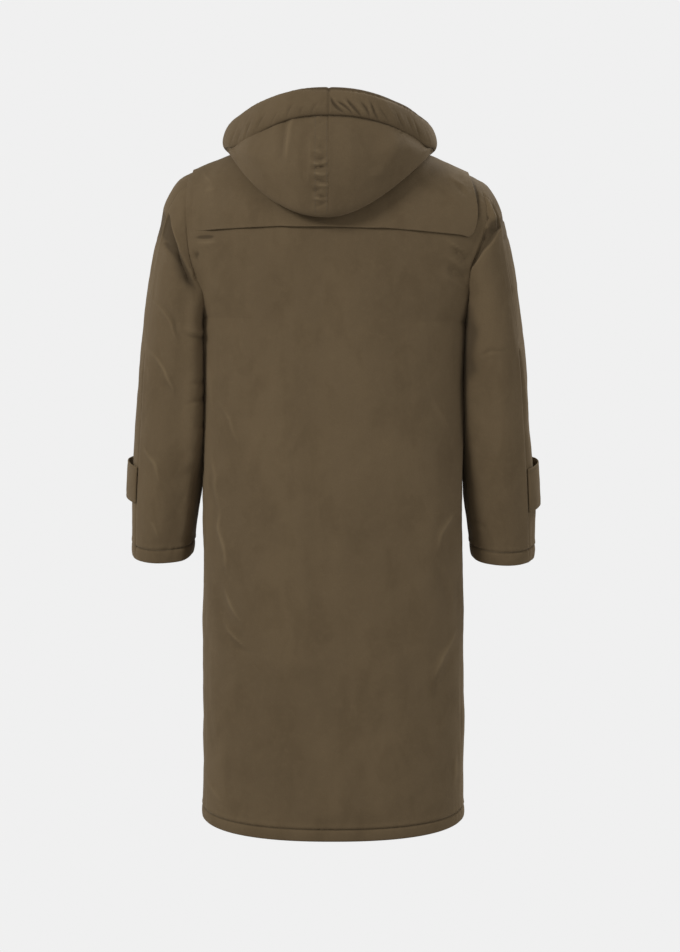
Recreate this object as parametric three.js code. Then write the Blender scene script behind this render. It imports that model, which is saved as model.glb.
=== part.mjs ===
// A long padded duffle coat, filled out as it hangs when worn, with nobody in it.
// Millimetres. +Z is up, +Y is the way the wearer faces, +X is the wearer's right.
// The origin is the middle of the neck at the height of the shoulder line.
//
// The trunk is one surface in three stretches of its level: 0 to 1 from the hem to the armpit,
// 1 to 2 along the lower half of the armhole, 2 to 3 over the shoulder. The panels, the yoke,
// the hood's underside and the closures are all made from points of that surface, moved out.
import * as THREE from 'three';

const DEGREE = Math.PI / 180;
const QUARTER = Math.PI / 2;

// ---- Driving sizes ----
const CLOTH = 3.6;             // wall of the padded cloth
const SEAM = 0.3;              // gap between two sewn pieces
const BACK = -1;               // the two faces of the trunk
const FRONT = 1;
const LEFT = -1;               // the two sides of the wearer
const RIGHT = 1;

const HEM = -1170;             // height of the hem at the side seams
const HEM_DIP = 10;            // the hem is lower than that at the centre back
const SLANT = 0.018;           // fall of the shoulders towards the wearer's right
const SLANT_FROM = -520;       // it sets in above this height
const SLANT_OVER = 230;
const ARMHOLE = { x: 238.5, height: -170, halfHeight: 122, halfDepth: 80, tilt: 7.5, bulge: 6 };
const ARMPIT = ARMHOLE.height - ARMHOLE.halfHeight;
const NECK = { halfWidth: 81, top: 18 };
// Over the neck the dome of each face rises or dips at its middle, and is cut away above a part of it.
const NECK_FACE = { [BACK]: { rise: 10, cut: 0.63 }, [FRONT]: { rise: -68, cut: 0.58 } };
const SHOULDER_FALL = 1.15;             // above 1 the shoulder line drops more towards its tip
const FULLNESS = 2.4;                   // 2 is an ellipse, more is squarer

// Half-widths and depths of the trunk. sideSeam is how far round from the centre back it lies.
const TRUNK = [
  { height: -1170, halfWidth: 232, back: 146, front: 152, sideSeam: 75 },
  { height: -900, halfWidth: 230, back: 141, front: 150, sideSeam: 75 },
  { height: -620, halfWidth: 227, back: 137, front: 148, sideSeam: 76 },
  { height: -370, halfWidth: 226, back: 134, front: 145, sideSeam: 84 },
  { height: -292, halfWidth: 231, back: 133, front: 140, sideSeam: 90 },
  { height: -170, halfWidth: 244, back: 130, front: 130, sideSeam: 90 },
];

// Rings of the sleeve from armhole to cuff: its outermost and innermost points, its half-depth,
// how far forward its centre lies, and how far its plane tips up towards the front.
const SLEEVE = [
  { outerX: 247, outerZ: -48, innerX: 231.5, innerZ: -292, depth: 80, forward: 0, tip: 0, bulge: 6 },
  { outerX: 266, outerZ: -61, innerX: 231.8, innerZ: -305, depth: 84, forward: 0, tip: 0, bulge: 3 },
  { outerX: 285, outerZ: -91, innerX: 231.2, innerZ: -318, depth: 87, forward: 1, tip: 0, bulge: 1 },
  { outerX: 299, outerZ: -135, innerX: 230, innerZ: -336, depth: 88, forward: 3, tip: 0, bulge: 0 },
  { outerX: 313, outerZ: -200, innerX: 228.2, innerZ: -362, depth: 87, forward: 5, tip: 1, bulge: 0 },
  { outerX: 326, outerZ: -285, innerX: 227.4, innerZ: -402, depth: 84, forward: 8, tip: 2, bulge: 0 },
  { outerX: 337, outerZ: -370, innerX: 227.2, innerZ: -452, depth: 81, forward: 12, tip: 4, bulge: 0 },
  { outerX: 344, outerZ: -455, innerX: 227.4, innerZ: -509, depth: 79, forward: 17, tip: 6, bulge: 0 },
  { outerX: 351, outerZ: -540, innerX: 228.4, innerZ: -570, depth: 77, forward: 24, tip: 7, bulge: 0 },
  { outerX: 356, outerZ: -625, innerX: 232, innerZ: -634, depth: 75, forward: 32, tip: 8, bulge: 0 },
  { outerX: 357, outerZ: -708, innerX: 241, innerZ: -706, depth: 70, forward: 41, tip: 8, bulge: 0 },
];
const CUFF_LEVEL = { [LEFT]: -1, [RIGHT]: -5 };   // the right cuff hangs a little lower
const SLEEVE_SEAM = 30;        // the outer seam, degrees from the outer edge towards the back
const SLEEVE_INSEAM = 200;     // the inner seam, measured the same way

const YOKE = { wall: 2.6, bottom: 2.11, reach: 0.955 };
const TAB = { wall: 3, stand: 8.5, top: 0.8, bottom: 0.89, end: -85 };

const FRONT_EDGE = { overlap: 45, sinkFrom: 80, sinkTo: 53, sink: CLOTH + 0.6 };

const HOOD = {
  wall: 3.4, hem: 3.6, lie: 5.5, foldRadius: 6.5, backRadius: 13, seamShift: -7,
  foldDepth: -128, foldTip: -14, backDepth: 146, tipFrom: 58, tipOver: 20,
  seamTop: 46, seamTip: -2, seamPower: 2.4, backReach: 152, standUp: 2, belly: 16, hangOver: 100,
  frontEdge: 176, frontGap: 6, frontForward: 104,
};
// The hood hangs fuller on the left: a higher power keeps its fold low for longer.
const HOOD_SIDE = { [LEFT]: { reach: 179, power: 2.3 }, [RIGHT]: { reach: 168, power: 1.8 } };
const RIM = { halfHeight: 23, halfThickness: 12.5, lean: 0.35, gap: 1.2, squareness: 0.87 };

const CLOSURES = { first: -140, spacing: 150, count: 4 };
const PATCH = { wall: 1.8, near: 34, length: 40, halfHeight: 21, halfTip: 12, centre: 14 };
const CORD_RADIUS = 1.7;
const TOGGLE_CORD_BEND = 3;
// The loop: half its breadth; then, from the centre of the closure, where its legs begin to rise,
// climb over the toggle's cord, turn in, and where it ends.
const LOOP = { half: 5, rise: 20, climb: 7, shoulder: 3, end: 7.5 };
const TOGGLE = { length: 56, radius: 6.4, waist: 4.8, height: 14 };

// ---- Helpers ----
const mix = (a, b, t) => a + (b - a) * t;
const clamp = (t) => Math.min(1, Math.max(0, t));
const ease = (t) => clamp(t) ** 2 * (3 - 2 * clamp(t));
const evenly = (from, to, steps) =>
  Array.from({ length: steps + 1 }, (_, i) => mix(from, to, i / steps));

/** One column of a table at a place between its rows, on a smooth curve through the rows. */
function readColumn(table, column, place) {
  const row = Math.min(table.length - 2, Math.max(0, Math.floor(place)));
  const value = (i) => table[Math.min(table.length - 1, Math.max(0, i))][column];
  const [a, b, c, d] = [value(row - 1), value(row), value(row + 1), value(row + 2)];
  const t = place - row;
  return b + 0.5 * t * (c - a + t * (2 * a - 5 * b + 4 * c - d + t * (3 * (b - c) + d - a)));
}

/** The same for a table whose rows are at the heights given in its first column. */
function readAtHeight(table, column, height) {
  let row = 0;
  while (row < table.length - 2 && height > table[row + 1].height) row += 1;
  const span = table[row + 1].height - table[row].height;
  const t = ease((height - table[row].height) / span);
  return mix(table[row][column], table[row + 1][column], t);
}

/** How far out a section reaches at an angle from its middle: 1 at the middle, 0 at the side. */
function fullness(angle) {
  const out = (1 - Math.min(1, Math.abs(Math.sin(angle))) ** FULLNESS) ** (1 / FULLNESS);
  return Math.cos(angle) < 0 ? -out : out;
}

/** The coat hangs a little lower on the wearer's right, above the waist. */
function settle(point) {
  point.z -= SLANT * point.x * ease((point.z - SLANT_FROM) / SLANT_OVER);
  return point;
}

// ---- The trunk ----

const SHOULDER_X = ARMHOLE.x + ARMHOLE.tilt;
const NECK_PART = NECK.halfWidth / SHOULDER_X;

/** Height of the top of the dome at a part c of the half-width: the shoulder line, eased over the neck. */
function domeTop(c, face) {
  const part = Math.abs(c);
  if (part < NECK_PART) return NECK.top + NECK_FACE[face].rise * (1 - (part / NECK_PART) ** 2) ** 2;
  const drop = NECK.top - (ARMHOLE.height + ARMHOLE.halfHeight);
  return NECK.top - drop * ((part - NECK_PART) / (1 - NECK_PART)) ** SHOULDER_FALL;
}

/** The part of the dome's rise where a panel ends: 1 at the shoulder seam, less at the neckline. */
function neckCut(c, face) {
  const inside = Math.max(0, 1 - (c / NECK_PART) ** 2);
  return 1 - (1 - NECK_FACE[face].cut) * Math.sqrt(inside);
}

/** Half-width of the trunk at the armhole, at a turn from 0 at its middle to 1 at its top or foot. */
function armholeX(upwards, turn) {
  return ARMHOLE.x + upwards * ARMHOLE.tilt * Math.sin(turn * QUARTER)
    + ARMHOLE.bulge * Math.cos(turn * QUARTER) ** 2;
}

const middleDepth = (face, height) => readAtHeight(TRUNK, face === BACK ? 'back' : 'front', height);

/** How far round a section lies the edge whose depth is this part of the middle's. */
const edgeAngle = (part) => Math.asin((1 - part ** FULLNESS) ** (1 / FULLNESS));
const SHOULDER_EDGE = edgeAngle(ARMHOLE.halfDepth / middleDepth(BACK, ARMHOLE.height));

/**
 * A point of the dome of the shoulder. c runs from 0 at the centre to 1 at the armhole, rise from 0
 * at the foot of the dome to 1 on the shoulder seam: each column is a quarter oval.
 */
function domePoint(c, rise, face) {
  const angle = Math.asin(c * Math.sin(SHOULDER_EDGE));
  const depth = middleDepth(face, ARMHOLE.height) * fullness(angle);
  return settle(new THREE.Vector3(
    armholeX(1, rise) * c,
    face * depth * Math.cos(rise * QUARTER),
    mix(ARMHOLE.height, domeTop(c, face), Math.sin(rise * QUARTER)),
  ));
}

/** The section that passes through the lower armhole's edge: its edge angle, half-width, depth, height. */
function armholeSection(turn, face) {
  const height = ARMHOLE.height - ARMHOLE.halfHeight * Math.sin(turn * QUARTER);
  const middle = middleDepth(face, height);
  const edge = edgeAngle((ARMHOLE.halfDepth * Math.cos(turn * QUARTER)) / middle);
  return [edge, armholeX(-1, turn) / Math.sin(edge), middle, height];
}

/** A point of the trunk: u from -1 to 1 across the face, level as told at the top of the file. */
function trunkPoint(u, level, face) {
  if (level > 2) {
    const c = Math.sin(u * SHOULDER_EDGE) / Math.sin(SHOULDER_EDGE);
    return domePoint(c, (level - 2) * mix(1, neckCut(c, face), level - 2), face);
  }
  if (level > 1) {
    const [edge, halfWidth, middle, height] = armholeSection(2 - level, face);
    const x = halfWidth * Math.sin(u * edge);
    return settle(new THREE.Vector3(x, face * middle * fullness(u * edge), height));
  }
  const height = mix(HEM, ARMPIT, level);
  const seam = readAtHeight(TRUNK, 'sideSeam', height) * DEGREE;
  const angle = u * (face === BACK ? seam : Math.PI - seam);
  const out = fullness(angle) * face;
  const dip = face === BACK ? HEM_DIP * (1 - u * u) * clamp(1 - level) ** 4 : 0;
  return settle(new THREE.Vector3(
    readAtHeight(TRUNK, 'halfWidth', height) * Math.sin(angle),
    out * middleDepth(out < 0 ? BACK : FRONT, height),
    height - dip,
  ));
}

/** The unit normal of a surface at (u, v), to the right-hand side of u turned into v. */
function normalOf(surface, u, v, uWay = 1) {
  const step = 1e-3;
  const alongU = surface(u + step * uWay, v).sub(surface(u - step * uWay, v));
  const alongV = surface(u, v + step).sub(surface(u, v - step));
  return alongU.cross(alongV).normalize();
}

// ---- Making solids ----

function solid(name, points, triangles, material) {
  const geometry = new THREE.BufferGeometry();
  geometry.setAttribute('position', new THREE.Float32BufferAttribute(points.flatMap((p) => p.toArray()), 3));
  geometry.setIndex(triangles.flat());
  geometry.computeVertexNormals();
  const mesh = new THREE.Mesh(geometry, material);
  mesh.name = name;
  return mesh;
}

/**
 * A wall of cloth on a surface: the grid of us by vs moved out by outer and by inner along the
 * normal, joined all round its edge. outer and inner are lengths or functions of (u, v).
 */
function clothWall(name, surface, us, vs, outer, inner, material) {
  const uWay = Math.sign(us[us.length - 1] - us[0]);
  const at = (amount, u, v) => (typeof amount === 'function' ? amount(u, v) : amount);
  const layer = (amount) => vs.flatMap((v) => us.map((u) => {
    const normal = normalOf(surface, u, v, uWay);
    return surface(u, v).addScaledVector(normal, at(amount, u, v));
  }));
  const points = [...layer(outer), ...layer(inner)];
  const [columns, rows] = [us.length, vs.length];
  const out = (i, j) => j * columns + i;
  const back = (i, j) => columns * rows + out(i, j);
  const triangles = [];
  const quad = (a, b, c, d) => triangles.push([a, b, c], [a, c, d]);
  for (let j = 0; j < rows - 1; j += 1) {
    for (let i = 0; i < columns - 1; i += 1) {
      quad(out(i, j), out(i + 1, j), out(i + 1, j + 1), out(i, j + 1));
      quad(back(i, j), back(i, j + 1), back(i + 1, j + 1), back(i + 1, j));
    }
    quad(out(0, j), out(0, j + 1), back(0, j + 1), back(0, j));
    quad(out(columns - 1, j), back(columns - 1, j), back(columns - 1, j + 1), out(columns - 1, j + 1));
  }
  for (let i = 0; i < columns - 1; i += 1) {
    quad(out(i, 0), back(i, 0), back(i + 1, 0), out(i + 1, 0));
    quad(out(i, rows - 1), out(i + 1, rows - 1), back(i + 1, rows - 1), back(i, rows - 1));
  }
  return solid(name, points, triangles, material);
}

/** A solid roll: the ring of points given for each place along it, closed by a fan at both ends. */
function roll(name, rings, material) {
  const around = rings[0].length;
  const points = rings.flat();
  const triangles = [];
  for (let j = 0; j < rings.length - 1; j += 1) {
    for (let i = 0; i < around; i += 1) {
      const [a, b] = [j * around + i, j * around + (i + 1) % around];
      triangles.push([a, b, b + around], [a, b + around, a + around]);
    }
  }
  const lastRing = (rings.length - 1) * around;
  for (let i = 1; i < around - 1; i += 1) {
    triangles.push([0, i + 1, i], [lastRing, lastRing + i, lastRing + i + 1]);
  }
  return solid(name, points, triangles, material);
}

const clothMaterial = new THREE.MeshStandardMaterial({ color: 0x5b4e3b, roughness: 0.9, metalness: 0 });
const leatherMaterial = new THREE.MeshStandardMaterial({ color: 0x3a2a1e, roughness: 0.6, metalness: 0 });
const cordMaterial = new THREE.MeshStandardMaterial({ color: 0x4a3b2a, roughness: 0.85, metalness: 0 });
const hornMaterial = new THREE.MeshStandardMaterial({ color: 0x6a4a2e, roughness: 0.4, metalness: 0 });

// ---- Body panels ----

/** u for a part c of the half-width over the shoulder, so that a column meets the side of the neck. */
const columnAt = (c) => Math.asin(c * Math.sin(SHOULDER_EDGE)) / SHOULDER_EDGE;
const HALF_COLUMNS = [
  ...evenly(0, 75, 3).map((angle) => columnAt(NECK_PART * Math.sin(angle * DEGREE))),
  ...evenly(NECK_PART, 1, 5).map(columnAt),
];
const BODY_LEVELS = [
  ...[0, 0.09, 0.25, 0.42, 0.58, 0.72, 0.83, 0.9, 0.95, 0.98, 1],
  ...evenly(1.25, 2, 3),
  ...evenly(2.17, 3, 5),
];
const SEAM_U = SEAM / 2 / 230;    // half a seam's gap, as a part of the half-width

function makeBack() {
  const half = [...HALF_COLUMNS.slice(1, -1), 1 - SEAM_U];
  const us = [...half.map((u) => -u).reverse(), 0, ...half];
  const levels = [...BODY_LEVELS.slice(0, -1), 3 - SEAM_U * 4];
  return clothWall('back', (u, level) => trunkPoint(u, level, BACK), us, levels, 0, -CLOTH, clothMaterial);
}

function makeYoke() {
  const half = [...HALF_COLUMNS.slice(1, -1), YOKE.reach];
  const us = [...half.map((u) => -u).reverse(), 0, ...half];
  const between = BODY_LEVELS.filter((level) => level > YOKE.bottom && level < 3);
  const levels = [YOKE.bottom, ...between, 3 - SEAM_U * 4];
  const surface = (u, level) => trunkPoint(u, level, BACK);
  return clothWall('back_yoke', surface, us, levels, SEAM + YOKE.wall, SEAM, clothMaterial);
}

/** u at a distance x from the centre line, at one level of a face. */
function acrossAt(x, level, face) {
  if (level > 2) return columnAt(x / armholeX(1, level - 2));
  if (level > 1) {
    const [edge, halfWidth] = armholeSection(2 - level, face);
    return Math.asin(x / halfWidth) / edge;
  }
  const height = mix(HEM, ARMPIT, level);
  const seam = readAtHeight(TRUNK, 'sideSeam', height) * DEGREE;
  return Math.asin(x / readAtHeight(TRUNK, 'halfWidth', height)) / (face === BACK ? seam : Math.PI - seam);
}

/**
 * A front, from part -1 at its free edge past the centre, by way of 0 straight below the side of
 * the neck, to 1 at the side seam and the armhole.
 */
function frontPoint(side, part, level) {
  const inner = NECK.halfWidth + Math.min(part, 0) * (NECK.halfWidth + FRONT_EDGE.overlap);
  return trunkPoint(side * mix(acrossAt(inner, level, FRONT), 1, Math.max(part, 0)), level, FRONT);
}

/** One front: it passes the centre by the overlap, and the right one steps in under the left. */
function makeFront(name, side) {
  const { overlap } = FRONT_EDGE;
  const straight = [...evenly(-overlap, overlap, 3), mix(overlap, NECK.halfWidth, 0.5), NECK.halfWidth];
  const parts = [
    ...straight.map((x) => (x - NECK.halfWidth) / (NECK.halfWidth + overlap)),
    ...evenly(0, 1, 6).slice(1, -1),
    1 - SEAM_U,
  ];
  const us = side === LEFT ? parts : parts.reverse();
  const levels = [...BODY_LEVELS.slice(0, -1), 3 - SEAM_U * 4];
  const { sinkFrom, sinkTo, sink } = FRONT_EDGE;
  const sunk = (part) => {
    const x = NECK.halfWidth + part * (NECK.halfWidth + FRONT_EDGE.overlap);
    return side === LEFT ? 0 : -sink * ease((sinkFrom - x) / (sinkFrom - sinkTo));
  };
  const surface = (part, level) => frontPoint(side, part, level);
  return clothWall(name, surface, us, levels, sunk, (part) => sunk(part) - CLOTH, clothMaterial);
}

// ---- Sleeves ----

/** A point of a sleeve: part from 0 at the armhole to 1 at the cuff, angle from its outer edge. */
function sleevePoint(side, part, angle) {
  const place = part * (SLEEVE.length - 1);
  const ring = (column) => readColumn(SLEEVE, column, place);
  const along = (1 + Math.cos(angle)) / 2;
  const back = Math.sin(angle) * ring('depth');
  const tip = ring('tip') * DEGREE;
  const hang = CUFF_LEVEL[side] * clamp(part) ** 3;
  return settle(new THREE.Vector3(
    side * (mix(ring('innerX'), ring('outerX'), along) + ring('bulge') * Math.sin(angle) ** 2),
    ring('forward') - back * Math.cos(tip),
    mix(ring('innerZ'), ring('outerZ'), along) - back * Math.sin(tip) + hang,
  ));
}

const SLEEVE_PARTS = [0, 0.06, 0.13, ...evenly(0.2, 1, 9)];

function makeSleevePanel(name, side, from, to, steps) {
  const gap = SEAM / 2 / 75 / DEGREE;
  const angles = evenly(from + gap, to - gap, steps);
  const us = side === LEFT ? angles : angles.reverse();
  const rises = SLEEVE_PARTS.map((part) => 1 - part).reverse();
  const surface = (angle, rise) => sleevePoint(side, 1 - rise, angle * DEGREE);
  return clothWall(name, surface, us, rises, 0, -CLOTH, clothMaterial);
}

/** A strap set in the outer sleeve seam, standing off the edge and sewn down again in front. */
function makeCuffTab(name, side) {
  const around = SLEEVE_SEAM - TAB.end;
  const angles = evenly(SLEEVE_SEAM, TAB.end, 12);
  const us = side === LEFT ? angles.reverse() : angles;
  const surface = (angle, rise) => sleevePoint(side, 1 - rise, angle * DEGREE);
  const rises = evenly(1 - TAB.bottom, 1 - TAB.top, 3);
  const lift = (angle) => {
    const along = clamp((SLEEVE_SEAM - angle) / around);
    return SEAM + TAB.stand * Math.sin(along * Math.PI) ** 0.7;
  };
  return clothWall(name, surface, us, rises, (angle) => lift(angle) + TAB.wall, lift, clothMaterial);
}

// ---- Hood ----

/** How far the hood's centre seam and what is near it lie to the left, as a part of the half-width. */
const hoodShift = (turn) => (HOOD.seamShift / SHOULDER_X) * Math.max(0, Math.cos(turn)) ** 2;

/**
 * Where the underside of the hood leaves the body, turning round the neck from 0 at the centre
 * back to 180 degrees at the centre front: a signed part of the half-width, a rise, a face.
 */
function hoodFold(side, turn) {
  const across = Math.sin(turn);
  const { reach, power } = HOOD_SIDE[side];
  if (turn > QUARTER) {
    const forward = Math.abs(Math.cos(turn));
    const c = (side * (reach * across + HOOD.frontGap * forward - HOOD.foldRadius)) / SHOULDER_X;
    const foot = domePoint(c, 0, FRONT).y;
    return { c, rise: Math.acos((HOOD.frontForward * forward) / foot) / QUARTER, face: FRONT };
  }
  const neckX = NECK.halfWidth * across;
  const neckZ = domePoint(neckX / SHOULDER_X, neckCut(neckX / SHOULDER_X, BACK), BACK).z;
  const [x, z] = [reach * across, mix(HOOD.foldDepth, HOOD.foldTip, across ** power)];
  const back = foldRadius(turn) / Math.hypot(x - neckX, z - neckZ);
  const c = mix(x, neckX, back) / SHOULDER_X;
  const up = clamp((mix(z, neckZ, back) - ARMHOLE.height) / (domeTop(c, BACK) - ARMHOLE.height));
  const foot = domePoint(c, 0, BACK).y;
  const byDepth = Math.acos(Math.min(1, (HOOD.backDepth * Math.cos(turn)) / -foot));
  const nearTip = ease((turn / DEGREE - HOOD.tipFrom) / HOOD.tipOver);
  return { c: side * c + hoodShift(turn), rise: mix(Math.asin(up), byDepth, nearTip) / QUARTER, face: BACK };
}

/** The radius of the turn from lying to standing or hanging: larger at the centre back. */
function foldRadius(turn) {
  return HOOD.foldRadius + HOOD.backRadius * Math.max(0, Math.cos(turn));
}

/** The underside of the hood: 0 at the neckline, 1 at the fold, on the body's surface, moved out. */
function hoodUnderside(side, turn, along) {
  const fold = hoodFold(side, turn);
  const neck = (side * NECK.halfWidth * Math.sin(turn)) / SHOULDER_X + hoodShift(turn);
  const surface = (c, rise) => domePoint(c, rise, fold.face);
  const c = mix(neck, fold.c, along);
  const rise = mix(neckCut(neck, fold.face), fold.rise, along);
  const normal = normalOf(surface, c, rise, fold.face === BACK ? 1 : -1);
  const lie = mix(HOOD.hem, HOOD.lie, ease(along / 0.25));
  return { point: surface(c, rise).addScaledVector(normal, lie), normal };
}

/** The seam between hood and rim: an arch over the back, then low round the shoulders to the throat. */
function rimSeam(side, turn, fold) {
  const low = fold.clone().setZ(fold.z + HOOD.standUp);
  if (turn >= QUARTER) return low;
  const across = Math.sin(turn);
  const arch = new THREE.Vector3(
    side * HOOD_SIDE[side].reach * across + HOOD.seamShift * Math.cos(turn) ** 2,
    -HOOD.backReach * Math.cos(turn) ** 1.1,
    mix(HOOD.seamTop, HOOD.seamTip, across ** HOOD.seamPower),
  );
  return arch.lerp(low, ease((turn / DEGREE - HOOD.tipFrom) / HOOD.tipOver));
}

/** Points that the hood's cloth passes at one turn once it leaves the body: round its fold, up to the rim. */
function hoodGuides(side, turn) {
  const { point: fold, normal } = hoodUnderside(side, turn, 1);
  const before = hoodUnderside(side, turn, 0.9).point;
  const onwards = fold.clone().sub(before).normalize();
  const radius = foldRadius(turn);
  const bend = QUARTER * (1 + Math.sqrt(Math.max(0, Math.cos(turn))));
  const round = (angle) => fold.clone()
    .addScaledVector(normal, radius * (1 - Math.cos(angle)))
    .addScaledVector(onwards, radius * Math.sin(angle));
  const end = round(bend);
  const seam = rimSeam(side, turn, end);
  const middle = end.clone().lerp(seam, 0.5);
  const hang = ease((seam.z - end.z) / HOOD.hangOver);
  middle.x += side * HOOD.belly * hang * Math.sin(turn);
  middle.y -= HOOD.belly * hang * Math.cos(turn);
  return [before, fold, round(bend / 2), end, middle, seam];
}

/**
 * A point of the hood: turn in degrees round the neck, along from 0 at the neckline, by way of 0.5
 * where its underside leaves the body, to 1 at the rim.
 */
function hoodPoint(side, turn, along) {
  if (along < 0.5) return hoodUnderside(side, turn * DEGREE, along * 2).point;
  const guides = hoodGuides(side, turn * DEGREE);
  const place = 1 + (along - 0.5) * 2 * (guides.length - 2);
  return new THREE.Vector3(...['x', 'y', 'z'].map((axis) => readColumn(guides, axis, place)));
}

const HOOD_TURNS = [0.06, 13, 26, 39, 52, 64, 74, 82, 90, 98, 107, 118, 132, 147, 162, HOOD.frontEdge];
const HOOD_ALONG = [...evenly(0, 0.5, 4), ...evenly(0.5, 1, 8).slice(1)];

function makeHoodHalf(name, side) {
  const us = side === LEFT ? [...HOOD_TURNS].reverse() : HOOD_TURNS;
  const surface = (turn, along) => hoodPoint(side, turn, along);
  return clothWall(name, surface, us, HOOD_ALONG, 0, -HOOD.wall, clothMaterial);
}

/** The padded roll that stands on the hood's edge, leaning in, from throat to throat round the back. */
function makeRim() {
  const turns = [...HOOD_TURNS.slice(1)];
  const seamAt = (side, turn) => {
    const surface = (around, along) => hoodPoint(side, around, along);
    return surface(turn, 1).addScaledVector(normalOf(surface, turn, 0.998, side), -HOOD.wall / 2);
  };
  const path = [
    ...turns.map((turn) => seamAt(LEFT, turn)).reverse(),
    seamAt(RIGHT, HOOD_TURNS[0]),
    ...turns.map((turn) => seamAt(RIGHT, turn)),
  ];
  const rings = path.map((base, i) => {
    const tangent = path[Math.min(i + 1, path.length - 1)].clone().sub(path[Math.max(i - 1, 0)]);
    const turn = i < turns.length ? turns[turns.length - 1 - i] : turns[i - turns.length - 1] || 0;
    const inwards = new THREE.Vector3(-base.x, -base.y, 0).normalize();
    const chest = hoodUnderside(Math.sign(base.x) || 1, turn * DEGREE, 1).normal;
    const lean = new THREE.Vector3(0, 0, 1).addScaledVector(inwards, RIM.lean)
      .lerp(chest, ease((turn - 80) / 50));
    const across = lean.clone().cross(tangent).normalize();
    const up = tangent.clone().cross(across).normalize();
    const middle = base.clone().addScaledVector(up, RIM.halfHeight + RIM.gap);
    const rounded = (value) => Math.sign(value) * Math.abs(value) ** RIM.squareness;
    return evenly(0, 360, 10).slice(0, -1).map((angle) => middle.clone()
      .addScaledVector(up, RIM.halfHeight * rounded(Math.sin(angle * DEGREE)))
      .addScaledVector(across, RIM.halfThickness * rounded(Math.cos(angle * DEGREE))));
  });
  return roll('hood_rim', rings, clothMaterial);
}

// ---- Closures ----

/** The trunk's level at x and z on the front, before the coat settles. */
function frontLevel(x, z) {
  if (z <= ARMPIT) return (z - HEM) / (ARMPIT - HEM);
  const above = z - ARMHOLE.height;
  if (above <= 0) return 2 - Math.asin(-above / ARMHOLE.halfHeight) / QUARTER;
  const c = x / SHOULDER_X;
  const rise = Math.asin(above / (domeTop(c, FRONT) - ARMHOLE.height)) / QUARTER;
  const lost = 1 - neckCut(c, FRONT);
  return 2 + (lost > 0 ? (1 - Math.sqrt(1 - 4 * lost * rise)) / (2 * lost) : rise);
}

/** The point of the front face at x and z. */
function frontPlace(x, z) {
  const level = frontLevel(x, z);
  return trunkPoint(acrossAt(x, level, FRONT), level, FRONT);
}

/** A leather patch, wide at its far end and narrow towards the toggle. */
function makePatch(name, side, height) {
  const surface = (along, across) => {
    const x = PATCH.centre + side * (PATCH.near + along * PATCH.length);
    return frontPlace(x, height + across * mix(PATCH.halfTip, PATCH.halfHeight, ease(along * 1.6)));
  };
  const alongs = evenly(0, 1, 4);
  const us = side === RIGHT ? alongs.reverse() : alongs;
  return clothWall(name, surface, us, evenly(-1, 1, 3), SEAM + PATCH.wall, SEAM, leatherMaterial);
}

/** A point above the front at x and z, by a height along the normal. */
function aboveFront(x, z, height) {
  return frontPlace(x, z).addScaledVector(normalOf(frontPlace, x, z, -1), height);
}

/** A round cord through points, six-sided. */
function cord(name, points) {
  const curve = new THREE.CatmullRomCurve3(points);
  const steps = points.length * 2;
  const { normals, binormals } = curve.computeFrenetFrames(steps);
  const rings = evenly(0, 1, steps).map((t, i) => evenly(0, 300, 5).map((angle) => curve.getPointAt(t)
    .addScaledVector(normals[i], CORD_RADIUS * Math.cos(angle * DEGREE))
    .addScaledVector(binormals[i], CORD_RADIUS * Math.sin(angle * DEGREE))));
  return roll(name, rings, cordMaterial);
}

/** The cord that holds the toggle: along the cloth from its patch, then up to the toggle's waist. */
function makeToggleCord(name, height) {
  const low = CORD_RADIUS + 2 * SEAM;
  const top = TOGGLE.height - TOGGLE.waist - 2 * SEAM;
  const start = PATCH.near - SEAM;
  const route = [
    [start, low], [start / 2, low], [TOGGLE_CORD_BEND, low], [0, mix(low, top, 0.4)], [0, top],
  ];
  return cord(name, route.map(([x, lift]) => aboveFront(PATCH.centre + x, height, lift)));
}

/** The loop that the toggle passes through: out from its patch, round over the other cord and back. */
function makeLoop(name, height) {
  const low = CORD_RADIUS + 2 * SEAM;
  const over = 3 * CORD_RADIUS + 2 * SEAM;
  const rising = mix(low, over, 0.8);
  const { half, rise, climb, shoulder, end } = LOOP;
  const start = PATCH.near - SEAM;
  const route = [
    [-start, half, low], [-rise, half, low], [-climb, half, rising], [shoulder, half, over],
    [end, 0, over],
    [shoulder, -half, over], [-climb, -half, rising], [-rise, -half, low], [-start, -half, low],
  ];
  return cord(name, route.map(([x, z, lift]) => aboveFront(PATCH.centre + x, height + z, lift)));
}

/** A turned toggle lying across the front, with a waist at its middle and rounded ends. */
function makeToggle(name, height) {
  const middle = aboveFront(PATCH.centre, height, TOGGLE.height);
  const along = new THREE.Vector3(1, 0, 0);
  const up = new THREE.Vector3(0, 0, 1);
  const out = new THREE.Vector3(0, 1, 0);
  const rings = evenly(-1, 1, 12).map((t) => {
    const waist = (TOGGLE.radius - TOGGLE.waist) * Math.exp(-((t / 0.16) ** 2));
    const radius = TOGGLE.radius * Math.sqrt(1.02 - Math.abs(t) ** 4) - waist;
    return evenly(0, 315, 7).map((angle) => middle.clone()
      .addScaledVector(along, (t * TOGGLE.length) / 2)
      .addScaledVector(out, radius * Math.cos(angle * DEGREE))
      .addScaledVector(up, radius * Math.sin(angle * DEGREE)));
  });
  return roll(name, rings, hornMaterial);
}

function makeClosure(number) {
  const height = CLOSURES.first - (number - 1) * CLOSURES.spacing;
  return [
    makeToggle(`toggle_${number}`, height),
    makePatch(`patch_left_${number}`, LEFT, height),
    makePatch(`patch_right_${number}`, RIGHT, height),
    makeLoop(`loop_left_${number}`, height),
    makeToggleCord(`loop_right_${number}`, height),
  ];
}

// ---- The coat ----

const SLEEVE_PANELS = { back: [SLEEVE_SEAM, SLEEVE_INSEAM], front: [SLEEVE_INSEAM - 360, SLEEVE_SEAM] };

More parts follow.
